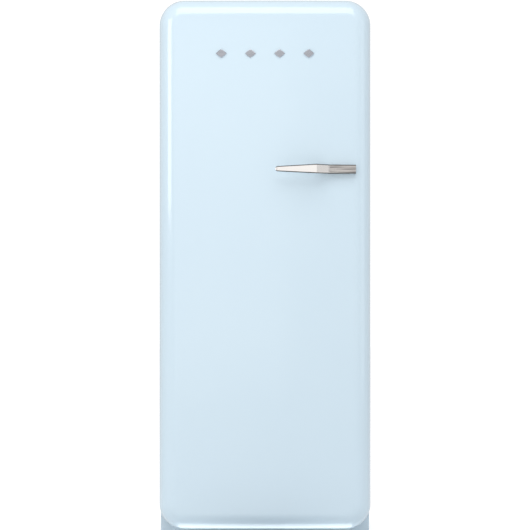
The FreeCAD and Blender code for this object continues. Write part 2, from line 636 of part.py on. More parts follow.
def build_door(parts):
    """Add every piece that swings with the door."""
    body = door_body(0)
    inside = door_body(SHEET)
    screws = handle_screws()
    void = pocket_box(0, DOOR_BACK + PAST)
    voids = [void, mirrored(void)]
    holes = [screw_shank(HANDLE_TIP + HANDLE_LEN - place) for place in SCREW_PLACES]
    mouth = door_panel(SHEET, DOOR_BACK - PAST, DOOR_BACK + PAST)
    parts["door_skin"] = body.cut([mouth, inside] + voids + holes)
    block = pocket_box(POCKET_T, DOOR_BACK + PAST)
    blocks = [block, mirrored(block)]
    rear = door_panel(SHEET, DOOR_BACK - LINER, DOOR_BACK + PAST)
    core = joined([inside.cut(rear), dike(LINER, DIKE_H)])
    sleeves = [bush(BUSH_R), mirrored(bush(BUSH_R))]
    parts["door_foam"] = core.cut(blocks + sleeves + screws)
    sheet = door_panel(SHEET, DOOR_BACK - LINER, DOOR_BACK)
    parts["door_liner"] = joined([sheet, dike(0, DIKE_H)]).cut([dike(LINER, DIKE_H)] + blocks)
    y1 = FACE - GASKET_FREE
    parts["door_gasket"] = ring(GASKET_INSET, GASKET_INSET + GASKET_W, DOOR_BACK, y1)
    lining = hinge_pocket(inside)
    parts["hinge_pockets"] = [lining, mirrored(lining)]
    parts["hinge_bushes"] = [hinge_bush(), mirrored(hinge_bush())]
    parts["handle_grip"] = handle(body, screws)
    parts["handle_screws"] = screws
    parts["badge_studs"] = badge(body)
    parts["bin_rails"] = []
    for index, (name, height) in enumerate(BIN_HEIGHTS.items()):
        z = BOTTLE_BIN_Z + index * BIN_PITCH
        parts[name] = door_bin(z, height)
        parts["bin_rails"].append(bin_rail(z, height))
    parts["dairy_bin"] = dairy_bin()
    parts["dairy_lid"] = dairy_lid()


# ---------------------------------------------------------------- cabinet
def cabinet_panel(inset, z0, r_low, y0, y1):
    """Return a plate with the cabinet's outline, moved inward by inset, standing on level z0."""
    return panel(inset - CAB_HALF, CAB_HALF - inset, z0, TOP - inset, r_low, CAB_R - inset, y0, y1)


def cavity(grow, y0, y1):
    """Return the space of the cavity, grown by a wall all round, with the step over the bay."""
    half = IN_HALF + grow
    r = CAVITY_R + grow
    room = panel(-half, half, IN_FLOOR - grow, IN_TOP + grow, r, r, y0, y1)
    step = box(-half - PAST, half + PAST, HUMP_FRONT + grow, BACK, IN_FLOOR - grow - PAST, HUMP_TOP - grow)
    return room.cut(step)


def hinge_bracket():
    """Return the upper bracket: plate on the cabinet face, arm and pin."""
    x0 = SHEET - CAB_HALF + BRACKET_IN
    plate_z = ARM_Z + ARM_T - BRACKET_H
    back = box(x0, x0 + BRACKET_W, FACE - BRACKET_T, FACE, plate_z, ARM_Z + ARM_T)
    arm = box(AXIS_X - ARM_LEFT, AXIS_X + ARM_RIGHT, AXIS_Y - ARM_FRONT, FACE, ARM_Z, ARM_Z + ARM_T)
    pin = rod((AXIS_X, AXIS_Y, ARM_Z + ARM_T), (0, 0, -1), PIN_L + ARM_T, PIN_R)
    return joined([back, arm, pin])


def shelf_levels():
    """Return the underside of every glass shelf."""
    return [LOWER_SHELF_Z + index * SHELF_PITCH for index in range(len(SHELF_NAMES))]


def rib_levels():
    """Return the top of every pair of shelf ribs."""
    return [COVER_Z] + shelf_levels() + [RACK_Z - RACK_R]


def inner_liner():
    """Return the moulded cavity lining with its shelf ribs."""
    shell = cavity(LINER, FACE, IN_BACK + LINER).cut(cavity(0, FACE - PAST, IN_BACK))
    ribs = []
    for z in rib_levels():
        deep = HUMP_FRONT - RUNNER_SET if z == COVER_Z else SHELF_Y1
        rib = box(IN_HALF - RIB_OUT, IN_HALF + SINK, SHELF_Y0 + RIB_SET, deep, z - RIB_H, z)
        ribs += both_sides(rib)
    return joined([shell] + ribs)


def glass_shelf(z, depth_end):
    """Return one glass shelf lying on its ribs."""
    half = IN_HALF - GLASS_SIDE
    return box(-half, half, SHELF_Y0 + TRIM_LIP, depth_end, z, z + GLASS_T)


def shelf_trim(z):
    """Return the slim front trim of a glass shelf."""
    half = IN_HALF - GLASS_SIDE
    mid = z + GLASS_T / 2
    end = SHELF_Y0 + TRIM_D + PAST
    bar = box(-half, half, SHELF_Y0, SHELF_Y0 + TRIM_D, mid - TRIM_R, mid + TRIM_R)
    slot = box(-half, half, SHELF_Y0 + TRIM_LIP, end, z, z + GLASS_T)
    under = box(-half, half, SHELF_Y0 + RIB_SET, end, z - TRIM_R, z)
    return bar.cut([slot, under])


def bottle_rack():
    """Return the chrome rack: two cross rods and rods from front to back."""
    half = IN_HALF - GLASS_SIDE
    y0 = SHELF_Y0 + RACK_R + RACK_SET
    y1 = SHELF_Y1 - RACK_R
    rods = [rod((-half, y, RACK_Z), (1, 0, 0), 2 * half, RACK_R) for y in (y0, y1)]
    pitch = 2 * (half - RACK_EDGE) / (RACK_RODS - 1)
    for index in range(RACK_RODS):
        x = RACK_EDGE - half + index * pitch
        rods.append(rod((x, y0, RACK_Z), (0, 1, 0), y1 - y0, RACK_R - ROD_LESS))
    return joined(rods)


def drawer(z0, z1, y1):
    """Return an open drawer with side lips and a ridge to pull it by."""
    half = DRAWER_HALF - DRAWER_LIP
    t = DRAWER_T
    tub = box(-half, half, SHELF_Y0, y1, z0, z1)
    room = box(t - half, half - t, SHELF_Y0 + t, y1 - t, z0 + t, z1 + PAST)
    lip = box(half - SINK, DRAWER_HALF, SHELF_Y0, y1, z1 - t, z1)
    y0 = SHELF_Y0 - GRIP_OUT
    grip = box(-GRIP_HALF, GRIP_HALF, y0, SHELF_Y0 + SINK, z1 - RIDGE_LOW, z1 - RIDGE_HIGH)
    return joined([tub.cut(room), grip] + both_sides(lip))


def crisper_levels():
    """Return the crisper's lower and upper level."""
    return IN_FLOOR + DRAWER_LIFT, COVER_Z - DRAWER_HEADROOM


def chill_levels():
    """Return the chill drawer's lower and upper level."""
    return CHILL_Z, CHILL_Z + CHILL_H


def runners():
    """Return the ledges that carry both drawers by their lips."""
    half = DRAWER_HALF - DRAWER_LIP + PLAY
    ledges = []
    for (z0, z1), y1 in ((crisper_levels(), HUMP_FRONT - DRAWER_BACK), (chill_levels(), SHELF_Y1)):
        top = z1 - DRAWER_T - PLAY
        ledges += both_sides(box(half, IN_HALF, SHELF_Y0 + RUNNER_SET, y1, top - RUNNER_H, top))
    return ledges


def freezer_box():
    """Return the open box of the freezer."""
    y0 = FREEZER_Y0 + FREEZER_FRAME_T
    y1 = IN_BACK - FREEZER_BACK
    outer = panel(-IN_HALF, IN_HALF, FREEZER_Z, IN_TOP, FREEZER_LOW_R, CAVITY_R, y0, y1)
    w = FREEZER_WALL
    half = IN_HALF - w
    inner_r = CAVITY_R - w
    inner = panel(-half, half, FREEZER_Z + w, IN_TOP - w, FREEZER_IN_R, inner_r, y0 - PAST, y1 - w)
    return outer.cut(inner)


def evaporator_plate():
    """Return the aluminium plate folded around the inside of the freezer."""
    y0 = FREEZER_Y0 + FREEZER_FRAME_T + PLATE_FRONT
    y1 = IN_BACK - FREEZER_BACK - FREEZER_WALL - PLATE_BACK
    w = FREEZER_WALL
    t = PLATE_T
    half = IN_HALF - w
    r_top = CAVITY_R - w
    outer = panel(-half, half, FREEZER_Z + w, IN_TOP - w, FREEZER_IN_R, r_top, y0, y1)
    half = half - t
    low = FREEZER_Z + w + t
    high = IN_TOP - w - t
    inner = panel(-half, half, low, high, FREEZER_IN_R - t, r_top - t, y0 - PAST, y1 + PAST)
    return outer.cut(inner)


def freezer_door_levels():
    """Return the freezer door's lower and upper level."""
    return FREEZER_Z + FREEZER_DOOR_EDGE, IN_TOP - FREEZER_DOOR_EDGE


def freezer_frame():
    """Return the freezer's front frame with the two ears and pins of its hinge."""
    y1 = FREEZER_Y0 + FREEZER_FRAME_T
    outer = panel(-IN_HALF, IN_HALF, FREEZER_Z, IN_TOP, FREEZER_LOW_R, CAVITY_R, FREEZER_Y0, y1)
    half = IN_HALF - FREEZER_RAIL
    z0 = FREEZER_Z + FREEZER_RAIL
    z1 = IN_TOP - FREEZER_RAIL
    window = panel(-half, half, z0, z1, FRAME_IN_R, FRAME_IN_R, FREEZER_Y0 - PAST, y1 + PAST)
    low, high = freezer_door_levels()
    x1 = FREEZER_AXIS_X + EAR_RIGHT
    y0 = FREEZER_AXIS_Y - EAR_FRONT
    pieces = [outer.cut(window)]
    for z, way in ((low - PLAY, -1), (high + PLAY, 1)):
        zs = sorted((z, z + way * EAR_T))
        pieces.append(box(-FREEZER_DOOR_HALF, x1, y0, FREEZER_Y0 + SINK, zs[0], zs[1]))
        start = (FREEZER_AXIS_X, FREEZER_AXIS_Y, z + way * SINK)
        pieces.append(rod(start, (0, 0, -way), FREEZER_PIN_L, FREEZER_PIN_R))
    return joined(pieces)


def freezer_door():
    """Return the freezer door with its grip and two hinge holes."""
    low, high = freezer_door_levels()
    half = FREEZER_DOOR_HALF
    slab = panel(-half, half, low, high, MIN_R, FREEZER_DOOR_R, FREEZER_DOOR_Y0, FREEZER_DOOR_Y1)
    mid = (low + high) / 2
    x1 = half - FREEZER_GRIP_IN
    y0 = FREEZER_DOOR_Y0 - FREEZER_GRIP_OUT
    reach = FREEZER_GRIP_L / 2
    grip = box(x1 - FREEZER_GRIP_W, x1, y0, FREEZER_DOOR_Y0 + SINK, mid - reach, mid + reach)
    holes = []
    for z, way in ((low - PAST, 1), (high + PAST, -1)):
        start = (FREEZER_AXIS_X, FREEZER_AXIS_Y, z)
        holes.append(rod(start, (0, 0, way), FREEZER_HOLE + PAST, FREEZER_PIN_R + RUNNING))
    return joined([slab, grip]).cut(holes)


def control_housing():
    """Return the control and lamp housing under the freezer."""
    z0 = HOUSING_Z
    y1 = SHELF_Y0 + HOUSING_D
    t = HOUSING_T
    outer = box(-HOUSING_HALF, HOUSING_HALF, SHELF_Y0, y1, z0, FREEZER_Z)
    inner = box(t - HOUSING_HALF, HOUSING_HALF - t, SHELF_Y0 + t, y1 - t, z0 - PAST, FREEZER_Z - t)
    boss = rod((KNOB_X, SHELF_Y0 + SINK, KNOB_Z), (0, 1, 0), BOSS_L, BOSS_R)
    start = (KNOB_X, SHELF_Y0 - PAST, KNOB_Z)
    bore = rod(start, (0, 1, 0), SPINDLE_HOLE + PAST, SPINDLE_R + RUNNING)
    return joined([outer.cut(inner), boss]).cut(bore)


def lamp_cover():
    """Return the flat clear cover in the underside of the control housing."""
    t = HOUSING_T
    y1 = SHELF_Y0 + HOUSING_D - t
    return box(t - HOUSING_HALF, HOUSING_HALF - t, SHELF_Y0 + t, y1, HOUSING_Z, HOUSING_Z + LAMP_COVER_T)


def thermostat_knob():
    """Return the knob with a pointer ridge and its spindle."""
    y0 = SHELF_Y0 - PLAY - KNOB_T
    disc = rod((KNOB_X, y0 + RIDGE_OUT, KNOB_Z), (0, 1, 0), KNOB_T - RIDGE_OUT, KNOB_R)
    y1 = y0 + RIDGE_OUT + SINK
    reach = KNOB_R - RIDGE_IN
    ridge = box(KNOB_X - RIDGE_T / 2, KNOB_X + RIDGE_T / 2, y0, y1, KNOB_Z - reach, KNOB_Z + reach)
    spindle = rod((KNOB_X, y1, KNOB_Z), (0, 1, 0), KNOB_T + SPINDLE_OUT, SPINDLE_R)
    return joined([disc, ridge, spindle])


def switch_housing():
    """Return the light switch housing on the right wall."""
    z0 = SWITCH_Z - SWITCH_H / 2
    block = box(SWITCH_X - SWITCH_LIP, IN_HALF, SWITCH_Y0, SWITCH_Y0 + SWITCH_D, z0, z0 + SWITCH_H)
    start = (SWITCH_X, SWITCH_Y0 - PAST, SWITCH_Z)
    return block.cut(rod(start, (0, 1, 0), PLUNGER_L, PLUNGER_R + RUNNING))


def light_plunger():
    """Return the plunger that the door's dike holds in."""
    return rod((SWITCH_X, DIKE_Y1 + PLAY, SWITCH_Z), (0, 1, 0), PLUNGER_L, PLUNGER_R)


def fan_cover():
    """Return the round grille in front of the fan."""
    y0 = IN_BACK - FAN_D
    wall = rod((0, y0, FAN_Z), (0, 1, 0), FAN_D, FAN_R)
    wall = wall.cut(rod((0, y0 + FAN_T, FAN_Z), (0, 1, 0), FAN_D, FAN_R - FAN_T))
    slots = []
    for index in range(SLOTS):
        inner = SLOT_IN + index * SLOT_PITCH
        start = (0, y0 - PAST, FAN_Z)
        band = rod(start, (0, 1, 0), FAN_T + 2 * PAST, inner + SLOT_W)
        slots.append(band.cut(rod(start, (0, 1, 0), FAN_T + 2 * PAST, inner)))
    bars = []
    reach = FAN_R - BAR_W
    for index in range(BARS):
        bar = box(-reach, reach, y0, y0 + FAN_T, FAN_Z - BAR_W / 2, FAN_Z + BAR_W / 2)
        bar.rotate(V(0, 0, FAN_Z), V(0, 1, 0), 180 / BARS * index)
        bars.append(bar)
    return joined([wall.cut(slots)] + bars)


def fan_motor():
    """Return the fan motor on the back wall."""
    y0 = IN_BACK - MOTOR_D
    body = rod((0, y0, FAN_Z), (0, 1, 0), MOTOR_D, MOTOR_R)
    hole = MOTOR_D - SHAFT_IN
    return body.cut(rod((0, y0 - PAST, FAN_Z), (0, 1, 0), hole, SHAFT_R + RUNNING))


def fan_rotor():
    """Return the fan hub with its blades and shaft."""
    y0 = IN_BACK - FAN_D + HUB_SET
    y1 = IN_BACK - MOTOR_D - HUB_GAP
    hub = rod((0, y0, FAN_Z), (0, 1, 0), y1 - y0, HUB_R)
    shaft = rod((0, y1 - SINK, FAN_Z), (0, 1, 0), MOTOR_D - SHAFT_IN - SHAFT_END, SHAFT_R)
    mid = (y0 + y1) / 2
    blades = []
    for index in range(BLADES):
        half = BLADE_T / 2
        root = HUB_R - BLADE_ROOT
        blade = box(root, FAN_R - BLADE_GAP, mid - half, mid + half, FAN_Z - HUB_R, FAN_Z + HUB_R)
        blade.rotate(V(0, mid, FAN_Z), V(1, 0, 0), BLADE_TILT)
        blade.rotate(V(0, 0, FAN_Z), V(0, 1, 0), 360 / BLADES * index)
        blades.append(blade)
    return joined([hub, shaft] + blades)


# ---------------------------------------------------------------- base and rear
def foot_sockets(grow):
    """Return the two socket cylinders, grown for the holes they sit in."""
    shapes = []
    for x in (-FOOT_X, FOOT_X):
        shapes.append(rod((x, FACE + FOOT_Y, FOOT_H - grow), (0, 0, 1), SOCKET_H + grow, SOCKET_R))
    return shapes


def bored_sockets():
    """Return the sockets with the bores for the foot studs."""
    done = []
    for socket, x in zip(foot_sockets(0), (-FOOT_X, FOOT_X)):
        start = (x, FACE + FOOT_Y, FOOT_H - PAST)
        depth = SOCKET_H - SOCKET_END + PAST
        done.append(socket.cut(rod(start, (0, 0, 1), depth, STUD_R + RUNNING)))
    return done


def front_foot(x):
    """Return one levelling foot with a six-sided collar."""
    y = FACE + FOOT_Y
    pad = rod((x, y, 0), (0, 0, 1), PAD_RIM, PAD_R)
    corners = []
    for index in range(6):
        angle = math.radians(60 * index)
        corners.append((x + COLLAR_R * math.cos(angle), y + COLLAR_R * math.sin(angle)))
    collar = plate(corners, COLLAR_H, PAD_H - COLLAR_H)
    stud = rod((x, y, PAD_H - SINK), (0, 0, 1), STUD_L + SINK, STUD_R)
    return joined([pad, collar, stud])


def roller_parts(side):
    """Return the bracket with its axle and the roller, for one side."""
    x = side * ROLLER_X
    y = BACK - ROLLER_Y
    z = ROLLER_R
    in_half = ROLLER_W / 2 + PLAY
    cheeks = []
    for way in (-1, 1):
        near, mid, far = (x + way * (in_half + out) for out in (0, CHEEK_T, FLANGE_OUT))
        y0, y1 = y - CHEEK_HALF, y + CHEEK_HALF
        cheeks.append(box(min(near, mid), max(near, mid), y0, y1, z - CHEEK_LOW, FOOT_H))
        cheeks.append(box(min(near, far), max(near, far), y0, y1, FOOT_H - CHEEK_T, FOOT_H))
    axle = rod((x - in_half - CHEEK_T, y, z), (1, 0, 0), 2 * (in_half + CHEEK_T), AXLE_R)
    bracket = joined(cheeks + [axle])
    wheel = rod((x - ROLLER_W / 2, y, z), (1, 0, 0), ROLLER_W, ROLLER_R)
    wheel = wheel.cut(rod((x - ROLLER_W, y, z), (1, 0, 0), 2 * ROLLER_W, AXLE_R + RUNNING))
    reach = WINDOW_HALF
    window = box(x - in_half, x + in_half, y - reach, y + reach, FOOT_H - PAST, FOOT_H + TRAY_T + PAST)
    return bracket, wheel, window


def compressor():
    """Return the hermetic compressor with its legs."""
    profile = [
        (0, 0),
        (COMP_R - POT_BASE, 0),
        (COMP_R, POT_BASE),
        (COMP_R, SEAM_Z),
        (COMP_R + SEAM_OUT, SEAM_Z),
        (COMP_R + SEAM_OUT, SEAM_Z + SEAM_H),
        (COMP_R, SEAM_Z + SEAM_H),
        (COMP_R, COMP_H - SHOULDER[0]),
        (COMP_R - SHOULDER_IN[0], COMP_H - SHOULDER[1]),
        (COMP_R - SHOULDER_IN[1], COMP_H),
        (0, COMP_H),
    ]
    loop = [V(COMP_X + r, COMP_Y, COMP_Z + z + COMP_LIFT) for r, z in profile]
    face = Part.Face(Part.makePolygon(loop + loop[:1]))
    pot = face.revolve(V(COMP_X, COMP_Y, 0), V(0, 0, 1), 360)
    legs = []
    for y in (COMP_Y - LEG_Y, COMP_Y + LEG_Y):
        x0, x1 = COMP_X - LEG_HALF, COMP_X + LEG_HALF
        legs.append(box(x0, x1, y - LEG_W / 2, y + LEG_W / 2, COMP_Z, COMP_Z + LEG_T))
    return joined([pot] + legs)


def compressor_mounts():
    """Return the four rubber mounts."""
    mounts = []
    for x in (COMP_X - GROMMET_X, COMP_X + GROMMET_X):
        for y in (COMP_Y - LEG_Y, COMP_Y + LEG_Y):
            mounts.append(rod((x, y, FOOT_H + TRAY_T), (0, 0, 1), GROMMET_H, GROMMET_R))
    return mounts


def start_relay(pot):
    """Return the relay box clipped to the compressor's side."""
    x = COMP_X + COMP_R
    y0, y1 = COMP_Y - RELAY_W / 2, COMP_Y + RELAY_W / 2
    z = COMP_Z + RELAY_Z
    return box(x - RELAY_IN, x + RELAY_OUT, y0, y1, z, z + RELAY_H).cut(pot)


def evaporation_tray():
    """Return the tray on the compressor that takes the thaw water."""
    z0 = COMP_Z + COMP_LIFT + COMP_H
    half_x, half_y = PAN_L / 2, PAN_W / 2
    outer = box(COMP_X - half_x, COMP_X + half_x, COMP_Y - half_y, COMP_Y + half_y, z0, z0 + PAN_H)
    half_x, half_y = half_x - PAN_T, half_y - PAN_T
    z1 = z0 + PAN_H + PAST
    return outer.cut(box(COMP_X - half_x, COMP_X + half_x, COMP_Y - half_y, COMP_Y + half_y, z0 + PAN_T, z1))


def filter_drier():
    """Return the drier cartridge in the corner of the bay."""
    x = COMP_X - COMP_R - DRIER_X
    y = BACK - DRIER_BACK
    z = FOOT_H + DRIER_Z
    cone = [(0, 0), (PIPE_R, 0), (DRIER_R, DRIER_CONE)]
    profile = cone + [(r, DRIER_L - h) for r, h in reversed(cone)]
    loop = [V(x + r, y, z + h) for r, h in profile]
    return Part.Face(Part.makePolygon(loop + loop[:1])).revolve(V(x, y, 0), V(0, 0, 1), 360)


def copper_pipes(pot):
    """Return the discharge pipe and the suction pipe."""
    start = COMP_X - COMP_R + PIPE_IN
    z = COMP_Z + PIPE_Z
    x = COMP_X - COMP_R - HOT_OUT
    y = COMP_Y + HOT_Y
    hot = [(start, y, z), (x, y, z), (x, BACK + COIL_Y, z), (x, BACK + COIL_Y, COIL_LOW - COIL_LEAD)]
    z = z - COLD_DROP
    x = COLD_SIDE - CAB_HALF
    y = COMP_Y - COLD_Y
    rear = BACK + COLD_OUT
    top = COIL_HIGH + COLD_UP
    cold = [(start, y, z), (x, y, z), (x, rear, z), (x, rear, top), (x, BACK, top)]
    return [bent_tube(hot, PIPE_R, HOT_BEND).cut(pot), bent_tube(cold, PIPE_R, COLD_BEND).cut(pot)]


def coil_levels():
    """Return the height of every level run of the condenser."""
    pitch = (COIL_HIGH - COIL_LOW) / (COIL_RUNS - 1)
    return [COIL_LOW + index * pitch for index in range(COIL_RUNS)]


def condenser_tube():
    """Return the condenser tube, wound from side to side up the back."""
    y = BACK + COIL_Y
    levels = coil_levels()
    bend = (levels[1] - levels[0]) / 2 - BEND_LESS
    x = COMP_X - COMP_R - HOT_OUT
    points = [(x, y, COIL_LOW - COIL_LEAD), (x, y, levels[0])]
    side = COIL_HALF
    for low, high in zip(levels, levels[1:]):
        points += [(side, y, low), (side, y, high)]
        side = -side
    points.append((side, y, levels[-1]))
    return bent_tube(points, COIL_TUBE_R, bend)


def condenser_wires():
    """Return the upright wires, in turn before and behind the tube."""
    half = COIL_HALF - WIRE_EDGE
    pitch = 2 * half / (COIL_WIRES - 1)
    wires = []
    for index in range(COIL_WIRES):
        way = 1 if index % 2 else -1
        y = BACK + COIL_Y + way * (COIL_TUBE_R + COIL_WIRE_R)
        start = (index * pitch - half, y, COIL_LOW - WIRE_OVER)
        wires.append(rod(start, (0, 0, 1), COIL_HIGH - COIL_LOW + 2 * WIRE_OVER, COIL_WIRE_R))
    return wires


def wall_spacers(tube):
    """Return the four spacers that hold the condenser's bends."""
    levels = coil_levels()
    spacers = []
    for side, first in ((1, 2), (1, COIL_RUNS - 4), (-1, 1), (-1, COIL_RUNS - 3)):
        z = (levels[first] + levels[first + 1]) / 2
        near = COIL_HALF - SPACER_IN
        x0, x1 = sorted((side * near, side * (near + SPACER_W)))
        block = box(x0, x1, BACK, BACK + COIL_OUT, z - SPACER_H / 2, z + SPACER_H / 2)
        spacers.append(block.cut(tube))
    return spacers


def mains_inlet():
    """Return the terminal box with its cable gland."""
    x = INLET_SIDE - CAB_HALF
    y = BACK - INLET_BACK
    mid = x + INLET_W / 2
    z = FOOT_H + GLAND_Z
    body = box(x, x + INLET_W, y - INLET_D, y, FOOT_H + TRAY_T, FOOT_H + INLET_TOP)
    gland = rod((mid, y - SINK, z), (0, 1, 0), GLAND_L + SINK, GLAND_R)
    cable = rod((mid, y - CABLE_DEEP, z), (0, 1, 0), CABLE_DEEP + GLAND_L + PAST, CABLE_R)
    return joined([body, gland]).cut(cable)


def build_cabinet(parts):
    """Add the cabinet, its linings and everything fixed inside it."""
    y0 = FACE + FRAME_T
    inner = cabinet_panel(SHEET, FOOT_H - PAST, FOOT_CORNER_R, y0 - PAST, BACK + PAST)
    width = CAB_HALF - SHEET
    foot = box(-width, width, y0 - PAST, BACK + PAST, FOOT_H - PAST, FOOT_H + FOOT_CORNER_R)
    outer = cabinet_panel(0, FOOT_H, SKIRT_R, y0, BACK)
    parts["cabinet_shell"] = outer.cut([inner, foot])
    opening = cavity(LINER, FACE - PAST, FACE + FRAME_T + PAST)
    parts["front_frame"] = cabinet_panel(0, FOOT_H, FOOT_CORNER_R, FACE, y0).cut(opening)
    rollers = [roller_parts(side) for side in (-1, 1)]
    windows = [window for _, _, window in rollers]
    tray = box(-width, width, y0, BACK, FOOT_H, FOOT_H + TRAY_T)
    parts["base_tray"] = tray.cut(foot_sockets(SOCKET_HOLE) + windows)
    low = FOOT_H + TRAY_T
    bay = box(-BAY_HALF, BAY_HALF, BAY_FRONT, BACK + PAST, low, BAY_TOP)
    half = BAY_HALF - SHEET
    hollow = box(-half, half, BAY_FRONT + SHEET, BACK + 2, low - PAST, BAY_TOP - SHEET)
    panel_end = box(-width, width, BACK, BACK + 2, low - PAST, BAY_TOP + PAST)
    parts["bay_panel"] = bay.cut([hollow, panel_end])
    sheet = panel(-width, width, low, TOP - SHEET, SKIRT_R, CAB_R - SHEET, BACK - SHEET, BACK)
    parts["rear_panel"] = sheet.cut(bay)
    block = panel(-width, width, low, TOP - SHEET, SKIRT_R, CAB_R - SHEET, y0, BACK - SHEET)
    full = cavity(LINER, FACE - PAST, IN_BACK + LINER)
    parts["cabinet_foam"] = block.cut([full, bay] + foot_sockets(0))
    parts["inner_liner"] = inner_liner()
    parts["hinge_brackets"] = [hinge_bracket(), mirrored(hinge_bracket())]
    parts["foot_sockets"] = bored_sockets()
    parts["front_foot_left"] = front_foot(-FOOT_X)
    parts["front_foot_right"] = front_foot(FOOT_X)
    parts["roller_brackets"] = [bracket for bracket, _, _ in rollers]
    parts["rear_roller_left"] = rollers[0][1]
    parts["rear_roller_right"] = rollers[1][1]


def build_inside(parts):
    """Add the fittings of the cold space."""
    parts["crisper_cover"] = glass_shelf(COVER_Z, IN_BACK - COVER_SIDE)
    for name, z in zip(SHELF_NAMES, shelf_levels()):
        parts["glass_shelf_" + name] = glass_shelf(z, SHELF_Y1)
    parts["shelf_trims"] = [shelf_trim(z) for z in [COVER_Z] + shelf_levels()]
    parts["bottle_rack"] = bottle_rack()
    parts["drawer_runners"] = runners()
    low, high = crisper_levels()
    parts["crisper_drawer"] = drawer(low, high, HUMP_FRONT - DRAWER_BACK)
    low, high = chill_levels()
    parts["chill_drawer"] = drawer(low, high, SHELF_Y1)
    parts["freezer_box"] = freezer_box()
    parts["evaporator_plate"] = evaporator_plate()
    parts["freezer_frame"] = freezer_frame()
    parts["freezer_door"] = freezer_door()
    parts["control_housing"] = control_housing()
    parts["lamp_cover"] = lamp_cover()
    parts["thermostat_knob"] = thermostat_knob()
    parts["switch_housing"] = switch_housing()
    parts["light_plunger"] = light_plunger()
    parts["fan_cover"] = fan_cover()
    parts["fan_motor"] = fan_motor()
    parts["fan_rotor"] = fan_rotor()


def build_rear(parts):
    """Add the cooling circuit at the back."""
    pot = compressor()
    tube = condenser_tube()
    parts["compressor"] = pot
    parts["compressor_mounts"] = compressor_mounts()
    parts["start_relay"] = start_relay(pot)
    parts["evaporation_tray"] = evaporation_tray()
    parts["filter_drier"] = filter_drier()
    parts["copper_pipes"] = copper_pipes(pot)
    parts["condenser_tube"] = tube
    parts["condenser_wires"] = condenser_wires()
    parts["wall_spacers"] = wall_spacers(tube)
    parts["mains_inlet"] = mains_inlet()


def main():
    """Build every piece and write each to its own file."""
    parts = {}
    build_cabinet(parts)
    build_inside(parts)
    build_rear(parts)
    build_door(parts)
    os.makedirs("parts", exist_ok=True)
    for name, shape in parts.items():
        solids = shape if isinstance(shape, list) else shape.Solids
        whole = solids[0] if len(solids) == 1 else Part.makeCompound(solids)
        whole.exportStep("parts/" + name + ".step")


main()
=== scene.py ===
"""Looks of a retro refrigerator with one tall pillow-edged door. Lengths are in metres, +Z up, front at -Y.

The door skin, gasket, handle, badge studs, bins and drawers are surfaces worked out on grids: an outline
carried round a profile. The other pieces keep their shape, and every piece gets its own painted, moulded,
drawn or glazed finish.
"""

import math

import bmesh
import bpy
import numpy as np
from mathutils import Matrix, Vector


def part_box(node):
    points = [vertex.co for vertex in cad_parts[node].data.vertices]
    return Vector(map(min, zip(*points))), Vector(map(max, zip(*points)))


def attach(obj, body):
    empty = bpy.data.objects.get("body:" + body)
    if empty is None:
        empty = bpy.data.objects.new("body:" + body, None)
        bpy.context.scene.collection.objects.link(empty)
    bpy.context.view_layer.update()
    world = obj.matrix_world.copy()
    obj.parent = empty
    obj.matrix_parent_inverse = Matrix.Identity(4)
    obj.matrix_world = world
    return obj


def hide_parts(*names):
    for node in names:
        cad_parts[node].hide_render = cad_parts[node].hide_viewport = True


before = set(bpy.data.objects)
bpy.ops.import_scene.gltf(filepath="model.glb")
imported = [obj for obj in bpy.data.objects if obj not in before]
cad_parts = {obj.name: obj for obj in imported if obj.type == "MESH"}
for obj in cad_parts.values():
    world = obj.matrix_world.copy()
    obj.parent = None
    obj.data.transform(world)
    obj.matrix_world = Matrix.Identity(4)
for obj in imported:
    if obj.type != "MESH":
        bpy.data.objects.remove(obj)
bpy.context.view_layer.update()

# ---------------------------------------------------------------- sizes that the boxes don't give
SHEET = 0.001  # painted door sheet
CORNER_R = 0.072  # corner of the door, seen from the front
ROLL_R = 0.050  # rolled front edge of the door
CROWN = 0.006  # bulge of the door's front across its width
POCKET_WALL = 0.002  # wall of a hinge pocket
ARM_T = 0.004  # thickness of a hinge arm
ARM_CLEAR = 0.002  # arm to pocket floor
GASKET_INSET = 0.020  # outer side of the gasket from the door side
GASKET_W = 0.018  # width of the gasket
PINCH = 0.42  # share of the gasket's width that its neck loses
PINCH_END = 0.72  # share of the gasket's depth over which the neck runs
PAD_STEP = 0.0012  # last edge of the magnet pad, narrower on each side
BADGE_STUDS = 4
BADGE_W = 0.030  # width of one lozenge stud
STUD_POWER = 1.15  # power of a stud's outline; 1 is a straight-sided lozenge
STUD_SINK = 0.0003  # a stud goes this far into the door's front
STUD_SIZES = (0, 1, 1, 0.95, 0.86, 0.84, 0)  # a stud's size from its back to its front
STUD_RISES = (0, 0, 0.62, 0.86, 1, 0.94, 0.94)  # and how far each of those has risen

# Bins and drawers
BIN_WALL = 0.0025
BIN_CORNER = 0.012  # corner of a bin, seen from above
BIN_BASE_R = 0.009  # round edge between a bin's floor and its wall
CHEEK_RISE = 0.012  # cheeks of the dairy bin over its rim
CHEEK_LEN = 0.014  # cheeks of the dairy bin off the door
CHEEK_R = 0.0011
DRAWER_WALL = 0.003
DRAWER_CORNER = 0.014
DRAWER_BASE_R = 0.012
DRAWER_LIP = 0.008  # drawer lip out of the drawer's side
LIP_R = 0.0013
PULL_REACH = 0.006  # pull ridge before the drawer's front
PULL_HALF = 0.060  # half the length of the pull ridge
PULL_DROP = (0.022, 0.014)  # lower and upper side of the pull ridge under the drawer's rim
PULL_R = 0.003
OVERLAP = 0.001  # a lip or a ridge goes this far into the drawer's wall

